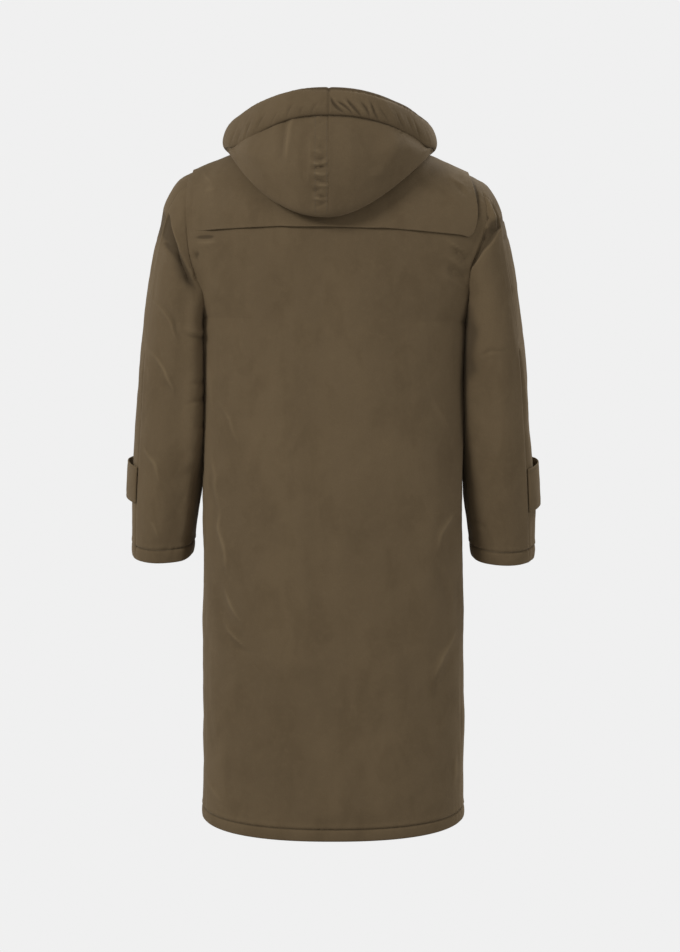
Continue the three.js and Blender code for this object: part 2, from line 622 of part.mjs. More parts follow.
function makeSleeve(word, side) {
  return [
    makeSleevePanel(`sleeve_${word}_back`, side, ...SLEEVE_PANELS.back, 8),
    makeSleevePanel(`sleeve_${word}_front`, side, ...SLEEVE_PANELS.front, 9),
    makeCuffTab(`cuff_tab_${word}`, side),
  ];
}

const coat = new THREE.Group();
coat.add(
  makeBack(),
  makeYoke(),
  makeFront('front_left', LEFT),
  makeFront('front_right', RIGHT),
  ...makeSleeve('left', LEFT),
  ...makeSleeve('right', RIGHT),
  makeHoodHalf('hood_left', LEFT),
  makeHoodHalf('hood_right', RIGHT),
  makeRim(),
  ...evenly(1, CLOSURES.count, CLOSURES.count - 1).flatMap(makeClosure),
);

export default coat;
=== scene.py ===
"""A long padded duffle coat in brushed olive-brown cloth, filled out as it hangs when worn.

Every cloth piece is a wall on a surface of two parameters, the same surface that its solid in
model.glb stands on, with creases, puckers, sewn channels and turned edges worked out as lengths along
the normal. Lengths are in millimetres until a mesh is made.
faces, +X is the wearer's right. The origin is the middle of the neck on the shoulder line.
"""
import math

import bpy
import numpy as np
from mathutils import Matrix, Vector


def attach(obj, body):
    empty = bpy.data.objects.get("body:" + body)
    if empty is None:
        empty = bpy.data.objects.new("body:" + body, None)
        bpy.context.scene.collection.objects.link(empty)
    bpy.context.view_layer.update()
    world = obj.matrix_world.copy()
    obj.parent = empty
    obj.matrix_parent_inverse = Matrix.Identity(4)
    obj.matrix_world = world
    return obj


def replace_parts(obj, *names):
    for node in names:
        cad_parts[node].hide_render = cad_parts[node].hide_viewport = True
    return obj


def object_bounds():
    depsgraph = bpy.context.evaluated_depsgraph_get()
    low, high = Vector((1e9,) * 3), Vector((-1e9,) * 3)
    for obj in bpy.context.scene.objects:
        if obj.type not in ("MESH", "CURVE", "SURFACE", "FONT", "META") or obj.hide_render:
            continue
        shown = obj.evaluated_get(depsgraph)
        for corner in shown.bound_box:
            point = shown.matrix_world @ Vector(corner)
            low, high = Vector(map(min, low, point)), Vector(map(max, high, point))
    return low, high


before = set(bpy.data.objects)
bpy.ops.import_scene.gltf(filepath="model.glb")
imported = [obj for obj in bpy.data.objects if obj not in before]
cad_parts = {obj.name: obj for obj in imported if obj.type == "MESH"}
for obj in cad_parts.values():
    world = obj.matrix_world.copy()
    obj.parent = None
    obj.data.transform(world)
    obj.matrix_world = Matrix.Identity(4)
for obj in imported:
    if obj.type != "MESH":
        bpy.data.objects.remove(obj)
CAD_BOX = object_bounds()

MM = 0.001
QUARTER = math.pi / 2
LEFT, RIGHT = -1, 1
BACK, FRONT = -1, 1

# ---- Sizes of the coat, as its solids have them ----
CLOTH = 3.6
SEAM = 0.3
HEM = -1170
HEM_DIP = 10
SLANT, SLANT_FROM, SLANT_OVER = 0.018, -520, 230
ARMHOLE = dict(x=238.5, height=-170, half_height=122, half_depth=80, tilt=7.5, bulge=6)
ARMPIT = ARMHOLE["height"] - ARMHOLE["half_height"]
SHOULDER_X = ARMHOLE["x"] + ARMHOLE["tilt"]
NECK_WIDTH, NECK_TOP = 81, 18
NECK_PART = NECK_WIDTH / SHOULDER_X
NECK_RISE = {BACK: 10, FRONT: -68}
NECK_CUT = {BACK: 0.63, FRONT: 0.58}
SHOULDER_FALL = 1.15
FULLNESS = 2.4

# Height, half-width, depth behind, depth in front, degrees from the centre back to the side seam.
HEIGHT, HALF_WIDTH, DEPTH_BEHIND, DEPTH_IN_FRONT, SEAM_TURN = range(5)
TRUNK = np.array([
    (-1170, 232, 146, 152, 75),
    (-900, 230, 141, 150, 75),
    (-620, 227, 137, 148, 76),
    (-370, 226, 134, 145, 84),
    (-292, 231, 133, 140, 90),
    (-170, 244, 130, 130, 90),
], float)

# Outer x and z, inner x and z, half-depth, how far forward, degrees of tip, bulge.
SLEEVE = np.array([
    (247, -48, 231.5, -292, 80, 0, 0, 6),
    (266, -61, 231.8, -305, 84, 0, 0, 3),
    (285, -91, 231.2, -318, 87, 1, 0, 1),
    (299, -135, 230, -336, 88, 3, 0, 0),
    (313, -200, 228.2, -362, 87, 5, 1, 0),
    (326, -285, 227.4, -402, 84, 8, 2, 0),
    (337, -370, 227.2, -452, 81, 12, 4, 0),
    (344, -455, 227.4, -509, 79, 17, 6, 0),
    (351, -540, 228.4, -570, 77, 24, 7, 0),
    (356, -625, 232, -634, 75, 32, 8, 0),
    (357, -708, 241, -706, 70, 41, 8, 0),
], float)
CUFF_LEVEL = {LEFT: -1, RIGHT: -5}
SLEEVE_SEAM, SLEEVE_INSEAM = {LEFT: 37, RIGHT: 41}, 200

YOKE = dict(wall=2.6, bottom=2.11, reach=0.955)
TAB = dict(wall=3, stand=8.5, top=0.8, bottom=0.89, end=-85)
FRONT_EDGE = dict(overlap=45, sink_from=80, sink_to=53, sink=CLOTH + 0.6)

HOOD = dict(
    wall=3.4, hem=3.6, lie=5.5, fold_radius=6.5, back_radius=13, seam_shift=-7,
    fold_depth=-128, fold_tip=-14, back_depth=146, tip_from=58, tip_over=20,
    seam_top=46, seam_tip=-2, seam_power=2.4, back_reach=152, stand_up=2, belly=16, hang_over=100,
    front_edge=176, front_gap=6, front_forward=104,
)
HOOD_REACH = {LEFT: 179, RIGHT: 168}
HOOD_POWER = {LEFT: 2.3, RIGHT: 1.8}
RIM = dict(half_height=23, half_thickness=12.5, lean=0.35, gap=1.2, squareness=0.87)

CLOSURE_HEIGHTS = [-140 - 150 * number for number in range(4)]
PATCH = dict(wall=1.8, near=34, length=40, half_height=21, half_tip=12, centre=14)
CORD_RADIUS, CORD_TWIST = 1.7, 9.0
TOGGLE = dict(length=56, radius=6.4, waist=4.8, height=14)


# ---- Small helpers ----
def mix(a, b, t):
    """From a at t 0 to b at t 1, in a straight line."""
    return a + (b - a) * t


def ease(t):
    """From 0 to 1 in an S-curve, flat at both ends: t squared times 3 minus 2 t."""
    t = np.clip(t, 0, 1)
    return t * t * (3 - 2 * t)


def bell(x, width):
    """A bell curve: 1 at 0, and 1 over e at the width on both sides."""
    return np.exp(-(x / width) ** 2)


def vector(x, y, z):
    """Points or ways from their three coordinates, stacked last."""
    return np.stack(np.broadcast_arrays(x, y, z), -1).astype(float)


def length(v):
    """The root of the sum of the squares."""
    return np.sqrt((v * v).sum(-1))


def unit(v):
    """The same way, with length 1."""
    return v / np.maximum(length(v), 1e-9)[..., None]


def distances(points):
    """How far along a line of points each one lies."""
    return np.concatenate([[0], np.cumsum(length(np.diff(points, axis=0)))])


def grid_normals(points):
    """The normals of a grid of points: the way along its columns turned into the way up its rows."""
    return unit(np.cross(np.gradient(points, axis=1), np.gradient(points, axis=0)))


def between(a, b, c, d, t):
    """The Catmull-Rom curve from b to c, whose ways there come from a and d."""
    return b + 0.5 * t * (c - a + t * (2 * a - 5 * b + 4 * c - d + t * (3 * (b - c) + d - a)))


def read_rows(table, place):
    """All columns of a table on curves through its rows, at a place counted in rows."""
    last = len(table) - 1
    row = np.clip(np.floor(place).astype(int), 0, last - 1)
    around = (table[np.clip(row + k, 0, last)] for k in (-1, 0, 1, 2))
    return between(*around, (place - row)[..., None])


def read_at_height(column, height):
    """A column of the trunk's table, eased from row to row."""
    rows = TRUNK[:, HEIGHT]
    row = np.clip(np.searchsorted(rows, height) - 1, 0, len(rows) - 2)
    t = ease((height - rows[row]) / (rows[row + 1] - rows[row]))
    return mix(TRUNK[row, column], TRUNK[row + 1, column], t)


def fullness(angle):
    """How far out a section reaches: the superellipse's 1 at its middle and 0 at its side."""
    out = (1 - np.minimum(1, np.abs(np.sin(angle))) ** FULLNESS) ** (1 / FULLNESS)
    return np.where(np.cos(angle) < 0, -out, out)


def settle(p):
    """The coat hangs lower on the wearer's right: z falls with x, eased in above the waist."""
    p[..., 2] -= SLANT * p[..., 0] * ease((p[..., 2] - SLANT_FROM) / SLANT_OVER)
    return p


# ---- The surfaces ----
def dome_top(c, face):
    """Height of the shoulder line at a part of the half-width, rising or dipping over the neck."""
    part = np.abs(c)
    inside = NECK_TOP + NECK_RISE[face] * (1 - np.minimum(1, part / NECK_PART) ** 2) ** 2
    drop = NECK_TOP - (ARMHOLE["height"] + ARMHOLE["half_height"])
    out = np.maximum(0, part - NECK_PART) / (1 - NECK_PART)
    return np.where(part < NECK_PART, inside, NECK_TOP - drop * out ** SHOULDER_FALL)


def neck_cut(c, face):
    """The part of the dome's rise where a panel ends: an oval notch out of a full rise of 1."""
    return 1 - (1 - NECK_CUT[face]) * np.sqrt(np.maximum(0, 1 - (c / NECK_PART) ** 2))


def armhole_x(upwards, turn):
    """The armhole's x, a quarter turn from its middle up or down: it leans by a sine and bulges out
    by a cosine squared."""
    return (ARMHOLE["x"] + upwards * ARMHOLE["tilt"] * np.sin(turn * QUARTER)
            + ARMHOLE["bulge"] * np.cos(turn * QUARTER) ** 2)


def middle_depth(face, height):
    """The depth of a face at its middle."""
    return read_at_height(DEPTH_BEHIND if face == BACK else DEPTH_IN_FRONT, height)


def side_turn(face, height):
    """The angle from the middle of a face to the side seam."""
    seam = np.radians(read_at_height(SEAM_TURN, height))
    return seam if face == BACK else math.pi - seam


def edge_angle(part):
    """The angle at which a superellipse has this part of its depth: fullness the other way round."""
    return np.arcsin((1 - part ** FULLNESS) ** (1 / FULLNESS))


ARMHOLE_MIDDLE = np.float64(ARMHOLE["height"])
SHOULDER_EDGE = float(edge_angle(ARMHOLE["half_depth"] / middle_depth(BACK, ARMHOLE_MIDDLE)))


def dome_point(c, rise, face):
    """The shoulder: each column is a quarter oval from the armhole's middle up to the shoulder line."""
    angle = np.arcsin(np.clip(c, -1, 1) * math.sin(SHOULDER_EDGE))
    depth = middle_depth(face, ARMHOLE_MIDDLE) * fullness(angle)
    return settle(vector(
        armhole_x(1, rise) * c,
        face * depth * np.cos(rise * QUARTER),
        mix(ARMHOLE["height"], dome_top(c, face), np.sin(rise * QUARTER)),
    ))


def armhole_section(turn, face):
    """The body's section at a turn down from the armhole's middle: the angle of the armhole's edge,
    the half-width that passes through it, the depth at the middle and the height."""
    height = ARMHOLE["height"] - ARMHOLE["half_height"] * np.sin(turn * QUARTER)
    middle = middle_depth(face, height)
    edge = edge_angle(ARMHOLE["half_depth"] * np.cos(turn * QUARTER) / middle)
    return edge, armhole_x(-1, turn) / np.sin(edge), middle, height


def trunk_point(u, level, face):
    """The trunk, u from -1 to 1 across a face: level 0 to 1 from hem to armpit on superellipses,
    1 to 2 on superellipses that pass the armhole's edge, 2 to 3 over the dome of the shoulder."""
    u, level = np.broadcast_arrays(np.asarray(u, float), np.asarray(level, float))
    c = np.sin(u * SHOULDER_EDGE) / math.sin(SHOULDER_EDGE)
    above = np.clip(level - 2, 0, 1)
    high = dome_point(c, above * mix(1, neck_cut(c, face), above), face)

    edge, half_width, middle, height = armhole_section(np.clip(2 - level, 0, 1), face)
    mid = settle(vector(half_width * np.sin(u * edge), face * middle * fullness(u * edge), height))

    height = mix(HEM, ARMPIT, np.minimum(level, 1))
    angle = u * side_turn(face, height)
    out = fullness(angle) * face
    depth = np.where(out < 0, middle_depth(BACK, height), middle_depth(FRONT, height))
    dip = HEM_DIP * (1 - u * u) * np.clip(1 - level, 0, 1) ** 4 if face == BACK else 0
    low = settle(vector(read_at_height(HALF_WIDTH, height) * np.sin(angle), out * depth, height - dip))
    pick = level[..., None]
    return np.where(pick > 2, high, np.where(pick > 1, mid, low))


def column_at(c):
    """u for a part c of the half-width over the shoulder."""
    return np.arcsin(c * math.sin(SHOULDER_EDGE)) / SHOULDER_EDGE


def across_at(x, level, face):
    """u at a distance x from the centre line, at one level of a face."""
    edge, half_width, _, _ = armhole_section(np.clip(2 - level, 0, 1), face)
    height = mix(HEM, ARMPIT, np.minimum(level, 1))
    low = np.arcsin(x / read_at_height(HALF_WIDTH, height)) / side_turn(face, height)
    high = column_at(x / armhole_x(1, np.clip(level - 2, 0, 1)))
    return np.where(level > 2, high, np.where(level > 1, np.arcsin(x / half_width) / edge, low))


def front_point(side, part, level):
    """A front: part -1 at its free edge past the centre, 0 below the side of the neck, 1 at the side."""
    inner = NECK_WIDTH + np.minimum(part, 0) * (NECK_WIDTH + FRONT_EDGE["overlap"])
    u = side * mix(across_at(inner, level, FRONT), 1, np.maximum(part, 0))
    return trunk_point(u, level, FRONT)


def front_place(x, z):
    """The point of the front face at x and z."""
    low = (z - HEM) / (ARMPIT - HEM)
    mid = 2 - np.arcsin(np.clip((ARMHOLE["height"] - z) / ARMHOLE["half_height"], 0, 1)) / QUARTER
    c = x / SHOULDER_X
    above = np.clip((z - ARMHOLE["height"]) / (dome_top(c, FRONT) - ARMHOLE["height"]), 0, 1)
    rise = np.arcsin(above) / QUARTER
    lost = np.maximum(1e-6, 1 - neck_cut(c, FRONT))
    high = 2 + (1 - np.sqrt(np.maximum(0, 1 - 4 * lost * rise))) / (2 * lost)
    level = np.where(z <= ARMPIT, low, np.where(z <= ARMHOLE["height"], mid, high))
    return trunk_point(across_at(x, level, FRONT), level, FRONT)


def sleeve_point(side, part, angle):
    """A sleeve: part 0 at the armhole to 1 at the cuff, angle round an oval from its outer edge."""
    part, angle = np.broadcast_arrays(np.asarray(part, float), np.asarray(angle, float))
    outer_x, outer_z, inner_x, inner_z, depth, forward, tip, bulge = np.moveaxis(
        read_rows(SLEEVE, part * (len(SLEEVE) - 1)), -1, 0)
    along = (1 + np.cos(angle)) / 2
    back = np.sin(angle) * depth
    hang = CUFF_LEVEL[side] * np.clip(part, 0, 1) ** 3
    return settle(vector(
        side * (mix(inner_x, outer_x, along) + bulge * np.sin(angle) ** 2),
        forward - back * np.cos(np.radians(tip)),
        mix(inner_z, outer_z, along) - back * np.sin(np.radians(tip)) + hang,
    ))


def hood_shift(turn):
    """How far the hood's centre seam lies off the middle, dying away by a cosine squared."""
    return HOOD["seam_shift"] / SHOULDER_X * np.maximum(0, np.cos(turn)) ** 2


def fold_radius(turn):
    """The radius of the hood's fold, widest at the centre back, by a cosine."""
    return HOOD["fold_radius"] + HOOD["back_radius"] * np.maximum(0, np.cos(turn))


def hood_fold(side, turn, face):
    """Where the hood's underside leaves the body: part of the half-width and rise, turning round
    the neck. Behind it follows a height that arches down to the centre back, near the tips and in
    front an oval in plan."""
    across = np.sin(turn)
    if face == FRONT:
        forward = np.abs(np.cos(turn))
        x = HOOD_REACH[side] * across + HOOD["front_gap"] * forward - HOOD["fold_radius"]
        c = side * x / SHOULDER_X
        foot = dome_point(c, 0.0, FRONT)[..., 1]
        return c, np.arccos(np.clip(HOOD["front_forward"] * forward / foot, 0, 1)) / QUARTER
    neck_x = NECK_WIDTH * across
    neck_z = dome_point(neck_x / SHOULDER_X, neck_cut(neck_x / SHOULDER_X, BACK), BACK)[..., 2]
    x = HOOD_REACH[side] * across
    z = mix(HOOD["fold_depth"], HOOD["fold_tip"], across ** HOOD_POWER[side])
    back = fold_radius(turn) / np.hypot(x - neck_x, z - neck_z)
    c = mix(x, neck_x, back) / SHOULDER_X
    up = np.clip((mix(z, neck_z, back) - ARMHOLE["height"]) / (dome_top(c, BACK) - ARMHOLE["height"]), 0, 1)
    foot = dome_point(c, 0.0, BACK)[..., 1]
    by_depth = np.arccos(np.clip(HOOD["back_depth"] * np.cos(turn) / -foot, 0, 1))
    near_tip = ease((np.degrees(turn) - HOOD["tip_from"]) / HOOD["tip_over"])
    return side * c + hood_shift(turn), mix(np.arcsin(up), by_depth, near_tip) / QUARTER


def hood_underside(side, turn, along):
    """The hood's underside: straight in part and rise from the neckline to its fold, moved out."""
    points, normals = [], []
    for face in (BACK, FRONT):
        fold_c, fold_rise = hood_fold(side, turn, face)
        neck = side * NECK_WIDTH * np.sin(turn) / SHOULDER_X + hood_shift(turn)
        c = mix(neck, fold_c, along)
        rise = mix(neck_cut(neck, face), fold_rise, along)
        step = 1e-3
        by_c = dome_point(c + step, rise, face) - dome_point(c - step, rise, face)
        by_rise = dome_point(c, rise + step, face) - dome_point(c, rise - step, face)
        normal = unit(np.cross(by_c, by_rise)) * (1 if face == BACK else -1)
        lie = mix(HOOD["hem"], HOOD["lie"], ease(along / 0.25))
        points.append(dome_point(c, rise, face) + normal * np.asarray(lie)[..., None])
        normals.append(normal)
    front = (turn > QUARTER)[..., None]
    return np.where(front, points[1], points[0]), np.where(front, normals[1], normals[0])


def rim_seam(side, turn, fold_end):
    """The seam between hood and rim: an arch over the back, then low round the shoulders."""
    low = fold_end + np.array([0, 0, HOOD["stand_up"]])
    across, behind = np.sin(turn), np.maximum(0, np.cos(turn))
    arch = vector(
        side * HOOD_REACH[side] * across + HOOD["seam_shift"] * behind ** 2,
        -HOOD["back_reach"] * behind ** 1.1,
        mix(HOOD["seam_top"], HOOD["seam_tip"], across ** HOOD["seam_power"]),
    )
    blend = ease((np.degrees(turn) - HOOD["tip_from"]) / HOOD["tip_over"])
    return mix(arch, low, np.where(turn >= QUARTER, 1, blend)[..., None])


def hood_guides(side, turn):
    """The points that the hood's cloth passes once it leaves the body: round its fold, up to the rim."""
    fold, normal = hood_underside(side, turn, np.ones_like(turn))
    before, _ = hood_underside(side, turn, np.full_like(turn, 0.9))
    onwards = unit(fold - before)
    radius = fold_radius(turn)[..., None]
    bend = QUARTER * (1 + np.sqrt(np.maximum(0, np.cos(turn))))[..., None]

    def round_fold(angle):
        """The quarter round and more of the fold, by a cosine along the normal and a sine onwards."""
        return fold + normal * radius * (1 - np.cos(angle)) + onwards * radius * np.sin(angle)

    end = round_fold(bend)
    seam = rim_seam(side, turn, end)
    middle = (end + seam) / 2
    hang = ease((seam[..., 2] - end[..., 2]) / HOOD["hang_over"])
    middle[..., 0] += side * HOOD["belly"] * hang * np.sin(turn)
    middle[..., 1] -= HOOD["belly"] * hang * np.cos(turn)
    return np.stack([before, fold, round_fold(bend / 2), end, middle, seam], 0)


def hood_point(side, turn, along):
    """The hood: turn in radians round the neck, along 0 at the neckline, 0.5 at the fold, 1 at the rim."""
    turn, along = np.broadcast_arrays(np.asarray(turn, float), np.asarray(along, float))
    under, _ = hood_underside(side, turn, np.minimum(1, along * 2))
    guides = hood_guides(side, turn)
    place = 1 + np.maximum(0, along - 0.5) * 2 * (len(guides) - 2)
    row = np.clip(np.floor(place).astype(int), 0, len(guides) - 2)
    rows = (np.clip(row + k, 0, len(guides) - 1)[None, ..., None] for k in (-1, 0, 1, 2))
    over = between(*(np.take_along_axis(guides, k, 0)[0] for k in rows), (place - row)[..., None])
    return np.where(along[..., None] < 0.5, under, over)


# ---- Relief: creases, clouds, puckers and seams, all in millimetres along the normal ----
def clouds(x, y, size, seed):
    """Smooth uneven ground from -1 to 1: sixteen plane waves of about one size, in many directions."""
    rng = np.random.default_rng(seed)
    total = 0
    for _ in range(16):
        heading = rng.uniform(0, math.tau)
        wave = math.tau / (size * rng.uniform(0.7, 1.6))
        ahead = x * math.cos(heading) + y * math.sin(heading)
        total = total + np.sin(ahead * wave + rng.uniform(0, math.tau))
    return total / 5


def wander(s, size, seed):
    """The same along one line: seven sines of about one size."""
    rng = np.random.default_rng(seed)
    total = 0
    for _ in range(7):
        total = total + np.sin(s * math.tau / (size * rng.uniform(0.6, 1.8)) + rng.uniform(0, math.tau))
    return total / 3


def puckers(s, distance, pitch, height, reach, seed):
    """Short gathers across a stitched line: a ripple along s of uneven pitch and strength, that
    dies away exponentially with the distance from the line."""
    swing = pitch * 0.55 * wander(s, pitch * 4.5, seed)
    strength = 0.55 + 0.45 * wander(s, pitch * 6, seed + 1)
    ripple = np.cos((s + swing) * math.tau / pitch) + 0.45 * np.cos((s - swing) * math.tau / (pitch * 0.62))
    return height * strength * ripple * np.exp(-np.abs(distance) / reach)


def groove(distance, depth, width):
    """A soft channel: a bell curve across a line."""
    return -depth * bell(distance, width)


def along_line(x, z, x0, z0, x1, z1, bow):
    """Where points lie by a bowed line: the part of its run from 0 to 1, the distance to the right of
    the way it runs, and the distance past its ends. The bow bulges it to the right at its middle."""
    run = math.hypot(x1 - x0, z1 - z0)
    ax, az = (x1 - x0) / run, (z1 - z0) / run
    s = ((x - x0) * ax + (z - z0) * az) / run
    inside = np.clip(s, 0, 1)
    off = (x - x0) * az - (z - z0) * ax - bow * 4 * inside * (1 - inside)
    return inside, off, (s - inside) * run


def wavered(x, z, waver, sizes, seed):
    """A place moved by clouds of two sizes, so that no line drawn at it runs quite straight."""
    return x + waver * clouds(x, z, sizes[0], seed), z + waver * clouds(x, z, sizes[1], seed + 7)


def creases(x, z, table, seed, waver=2.5):
    """Bell curves across bowed lines that fade out at both ends. Returns their height, and their wear and
    painted shade.
    Columns of the table: from x and z, to x and z, how far the middle bows to the right of the way
    it runs, half-width, height, or depth if below 0, and how much the nap is worn, or below 0 how much shade
    is painted into the crease."""
    at = wavered(x, z, waver, (46, 52), seed)
    height, wear_and_painted_light = 0, 0
    for x0, z0, x1, z1, bow, width, rise, worn in table:
        s, off, past = along_line(*at, x0, z0, x1, z1, bow)
        fade = np.sin(np.clip(s, 0.02, 0.98) * math.pi) ** 0.6 * bell(past, width)
        wide = width * (0.7 + 0.5 * fade)
        height += rise * fade * bell(off, wide)
        # worn nap on ridges, painted shade where the value is below 0
        wear_and_painted_light += 0.55 * worn * fade * bell(off, 0.7 * wide)
    return height, wear_and_painted_light


LAP_EDGE = 2.0        # half of the way over which a lap drops to its low side


def laps(x, z, table, seed):
    """Folds that lie over themselves: the cloth left of a bowed line stands proud, drops within a few
    millimetres to its low side on the right, and comes back to level over the reach. Returns their
    height, and a painted highlight on the proud edge with painted shade over the low side. Columns of the
    table: from x and z, to x and z, bow, drop and reach."""
    at = wavered(x, z, 1, (34, 38), seed)
    height, wear_and_painted_light = 0, 0
    for x0, z0, x1, z1, bow, drop, reach in table:
        s, off, past = along_line(*at, x0, z0, x1, z1, bow)
        fade = ease(np.minimum(s, 1 - s) / 0.28 + 0.08) * bell(past, 6)
        low = ease((off + LAP_EDGE) / (2 * LAP_EDGE))
        proud = 0.42 * np.exp(-np.maximum(0, -off) / (0.9 * reach)) * (1 - low)
        height += drop * fade * (proud - 0.58 * np.exp(-np.maximum(0, off) / reach) * low)
        shaded = low * np.exp(-(np.maximum(0, off) / reach) ** 1.6)
        # painted highlight along the proud edge, painted shade over the low side
        wear_and_painted_light += fade * min(1, drop / 8) * (0.3 * bell(off + LAP_EDGE, 2.2) - 1.4 * shaded)
    return height, wear_and_painted_light


# ---- Cloth as closed walls ----
EDGES = ("first", "last", "foot", "head")


class Cloth:
    """A wall of cloth on a grid of points, whose rows turned into its columns point out of it.

    It keeps the base points, their normals and each point's distance along the cloth from the four
    edges. The relief moves both faces, and the edges are turned: near an edge the two faces close
    on each other along a quarter round.
    """

    def __init__(self, name, points):
        self.name, self.base = name, points
        self.normal = grid_normals(points)
        across = np.pad(length(np.diff(points, axis=1)), ((0, 0), (1, 0)))
        upwards = np.pad(length(np.diff(points, axis=0)), ((1, 0), (0, 0)))
        self.first = np.cumsum(across, axis=1)
        self.last = self.first[:, -1:] - self.first
        self.foot = np.cumsum(upwards, axis=0)
        self.head = self.foot[-1:, :] - self.foot
        self.x, self.y, self.z = np.moveaxis(points, -1, 0)
        self.relief = np.zeros(points.shape[:2])
        # wear and painted light: worn nap and painted highlights above 0, painted shade below 0
        self.wear_and_painted_light = np.zeros(points.shape[:2])

    def edge(self):
        """Distance to the nearest edge."""
        return np.minimum(np.minimum(self.first, self.last), np.minimum(self.foot, self.head))

    def flat(self):
        """The cut's width, length and area in metres, measured on the surface before its creases."""
        a = np.cross(self.base[1:, 1:] - self.base[:-1, :-1], self.base[:-1, 1:] - self.base[1:, :-1])
        area = length(a).sum() / 2 * MM * MM
        width, tall = self.first[:, -1].max() * MM, self.foot[-1].max() * MM
        return (width, tall), min(area, width * tall)

    def line(self, which, distance):
        """Points and normals of the outer face, with its relief, at one distance from an edge."""
        away = getattr(self, which)
        points = self.base + self.normal * self.relief[..., None]
        normals = grid_normals(points)
        if which in ("first", "last"):
            away, points, normals = away.T, points.transpose(1, 0, 2), normals.transpose(1, 0, 2)
        if which in ("last", "head"):
            away, points, normals = away[::-1], points[::-1], normals[::-1]
        j = np.clip((away < distance).sum(0), 1, len(away) - 1)
        i = np.arange(away.shape[1])
        t = ((distance - away[j - 1, i]) / np.maximum(1e-6, away[j, i] - away[j - 1, i]))[:, None]
        return mix(points[j - 1, i], points[j, i], t), unit(mix(normals[j - 1, i], normals[j, i], t))

    def draw_out(self, which, distance, lift=0.3):
        """Draws one edge on over its neighbour's: it moves out along the cloth and a little up."""
        near = bell(getattr(self, which), 3)
        pairs = {"first": (0, 3, 1), "last": (-1, -4, 1), "foot": (0, 3, 0), "head": (-1, -4, 0)}
        edge, inner, axis = pairs[which]
        way = unit(np.take(self.base, edge, axis) - np.take(self.base, inner, axis))
        self.base = self.base + np.expand_dims(way, axis) * (distance * near)[..., None]
        self.relief = self.relief + lift * near

    def add(self, folds, amount=1.0):
        """Adds folds, as their height and their wear and painted light, to the cloth."""
        self.relief = self.relief + folds[0] * amount
        self.wear_and_painted_light = self.wear_and_painted_light + folds[1] * amount

    def build(self, wall, material, slot, inner_step=5, sewn=()):
        """Makes the mesh. The inner face takes only some of the rows, and the sides join them. The
        edges named as sewn turn in short, the others in a full round."""
        d = 1.0
        for which in EDGES:
            radius = 0.6 if which in sewn else wall * 0.62
            d = np.minimum(d, np.clip(getattr(self, which) / radius, 0, 1))
        close = np.maximum(0.12, np.sqrt(1 - (1 - d) ** 2))
        middle = self.base + self.normal * (self.relief - wall / 2)[..., None]
        half = self.normal * (wall / 2 * close)[..., None]
        rows, columns = self.relief.shape
        keep = sorted({0, 1, 2, rows - 3, rows - 2, rows - 1, *range(2, rows - 3, inner_step)})
        outer, inner = middle + half, (middle - half)[keep]
        vertices = np.concatenate([outer.reshape(-1, 3), inner.reshape(-1, 3)])
        number = np.arange(rows * columns).reshape(rows, columns)
        inside = rows * columns + np.arange(len(keep) * columns).reshape(len(keep), columns)
        foot, head = np.stack([inside[0], number[0]]), np.stack([number[-1], inside[-1]])
        faces = np.concatenate([quads(number), quads(inside)[:, ::-1], quads(foot), quads(head)])
        polygons = faces.tolist()
        for k in range(len(keep) - 1):
            low, high = keep[k], keep[k + 1]
            left = number[low:high + 1, 0].tolist()
            right = number[low:high + 1, -1].tolist()
            polygons.append([inside[k, 0], *left, inside[k + 1, 0]])
            polygons.append([inside[k + 1, -1], *right[::-1], inside[k, -1]])
        piece = make_mesh(self.name, vertices, polygons, material)
        set_wear_and_painted_light(piece, np.concatenate([self.wear_and_painted_light.ravel(), np.zeros(inner.size // 3)]))
        return piece


def set_wear_and_painted_light(piece, values):
    """Gives each vertex how much its nap is worn or painted lighter, above 0, and how much shade is painted
    on it, below.
    """
    piece.data.attributes.new("wear_and_painted_light", "FLOAT", "POINT").data.foreach_set("value", values)


def quads(number):
    """The four-sided faces of a grid, from the numbers of its points."""
    return np.stack([number[:-1, :-1], number[:-1, 1:], number[1:, 1:], number[1:, :-1]], -1).reshape(-1, 4)


def make_mesh(name, vertices, polygons, material):
    """A smooth mesh in the coat's one body, from vertices in millimetres."""
    mesh = bpy.data.meshes.new(name)
    mesh.from_pydata((vertices * MM).tolist(), [], polygons)
    mesh.validate()
    mesh.polygons.foreach_set("use_smooth", [True] * len(mesh.polygons))
    mesh.materials.append(material)
    mesh.update()
    piece = bpy.data.objects.new(name, mesh)
    bpy.context.scene.collection.objects.link(piece)
    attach(piece, "root")
    return piece


def tube_faces(rings, sides):
    """The faces of a tube through rings of points, with a cap at each end."""
    number = np.arange(rings * sides).reshape(rings, sides)
    return [*quads(np.hstack([number, number[:, :1]])), number[0, ::-1], number[-1]]


def make_tube(name, points, material, way=1):
    """A tube through rings of points. The way is -1 where the rings run round it the other way."""
    polygons = [face[::way].tolist() for face in tube_faces(*points.shape[:2])]
    return make_mesh(name, points.reshape(-1, 3), polygons, material)


def with_edges(start, end, steps, edge):
    """Evenly spread values from start to end, with two more close to each end for the turned edge."""
    sign = math.copysign(1, end - start)
    near = [0, 0.3 * edge, edge]
    middle = np.linspace(start + sign * edge * 1.8, end - sign * edge * 1.8, steps)
    return np.array([*(start + sign * n for n in near), *middle, *(end - sign * n for n in near[::-1])])


def read_line(line, steps, places):
    """A line of points, or of what belongs to them, read at places along it, straight between them."""
    return np.stack([np.interp(places, steps, line[:, k]) for k in range(3)], -1)


# The rings of a stitch: place along its half-length, part of its thickness, and height over the cloth.
STITCH = np.array([(-1, 0.35, -0.9), (-0.72, 0.85, 0.1), (0, 1, 0.55), (0.72, 0.85, 0.1), (1, 0.35, -0.9)])
STITCH_SIDES, STITCH_HALF, STITCH_SUNK = 5, 0.31, 0.15    # its half-length is a part of the pitch


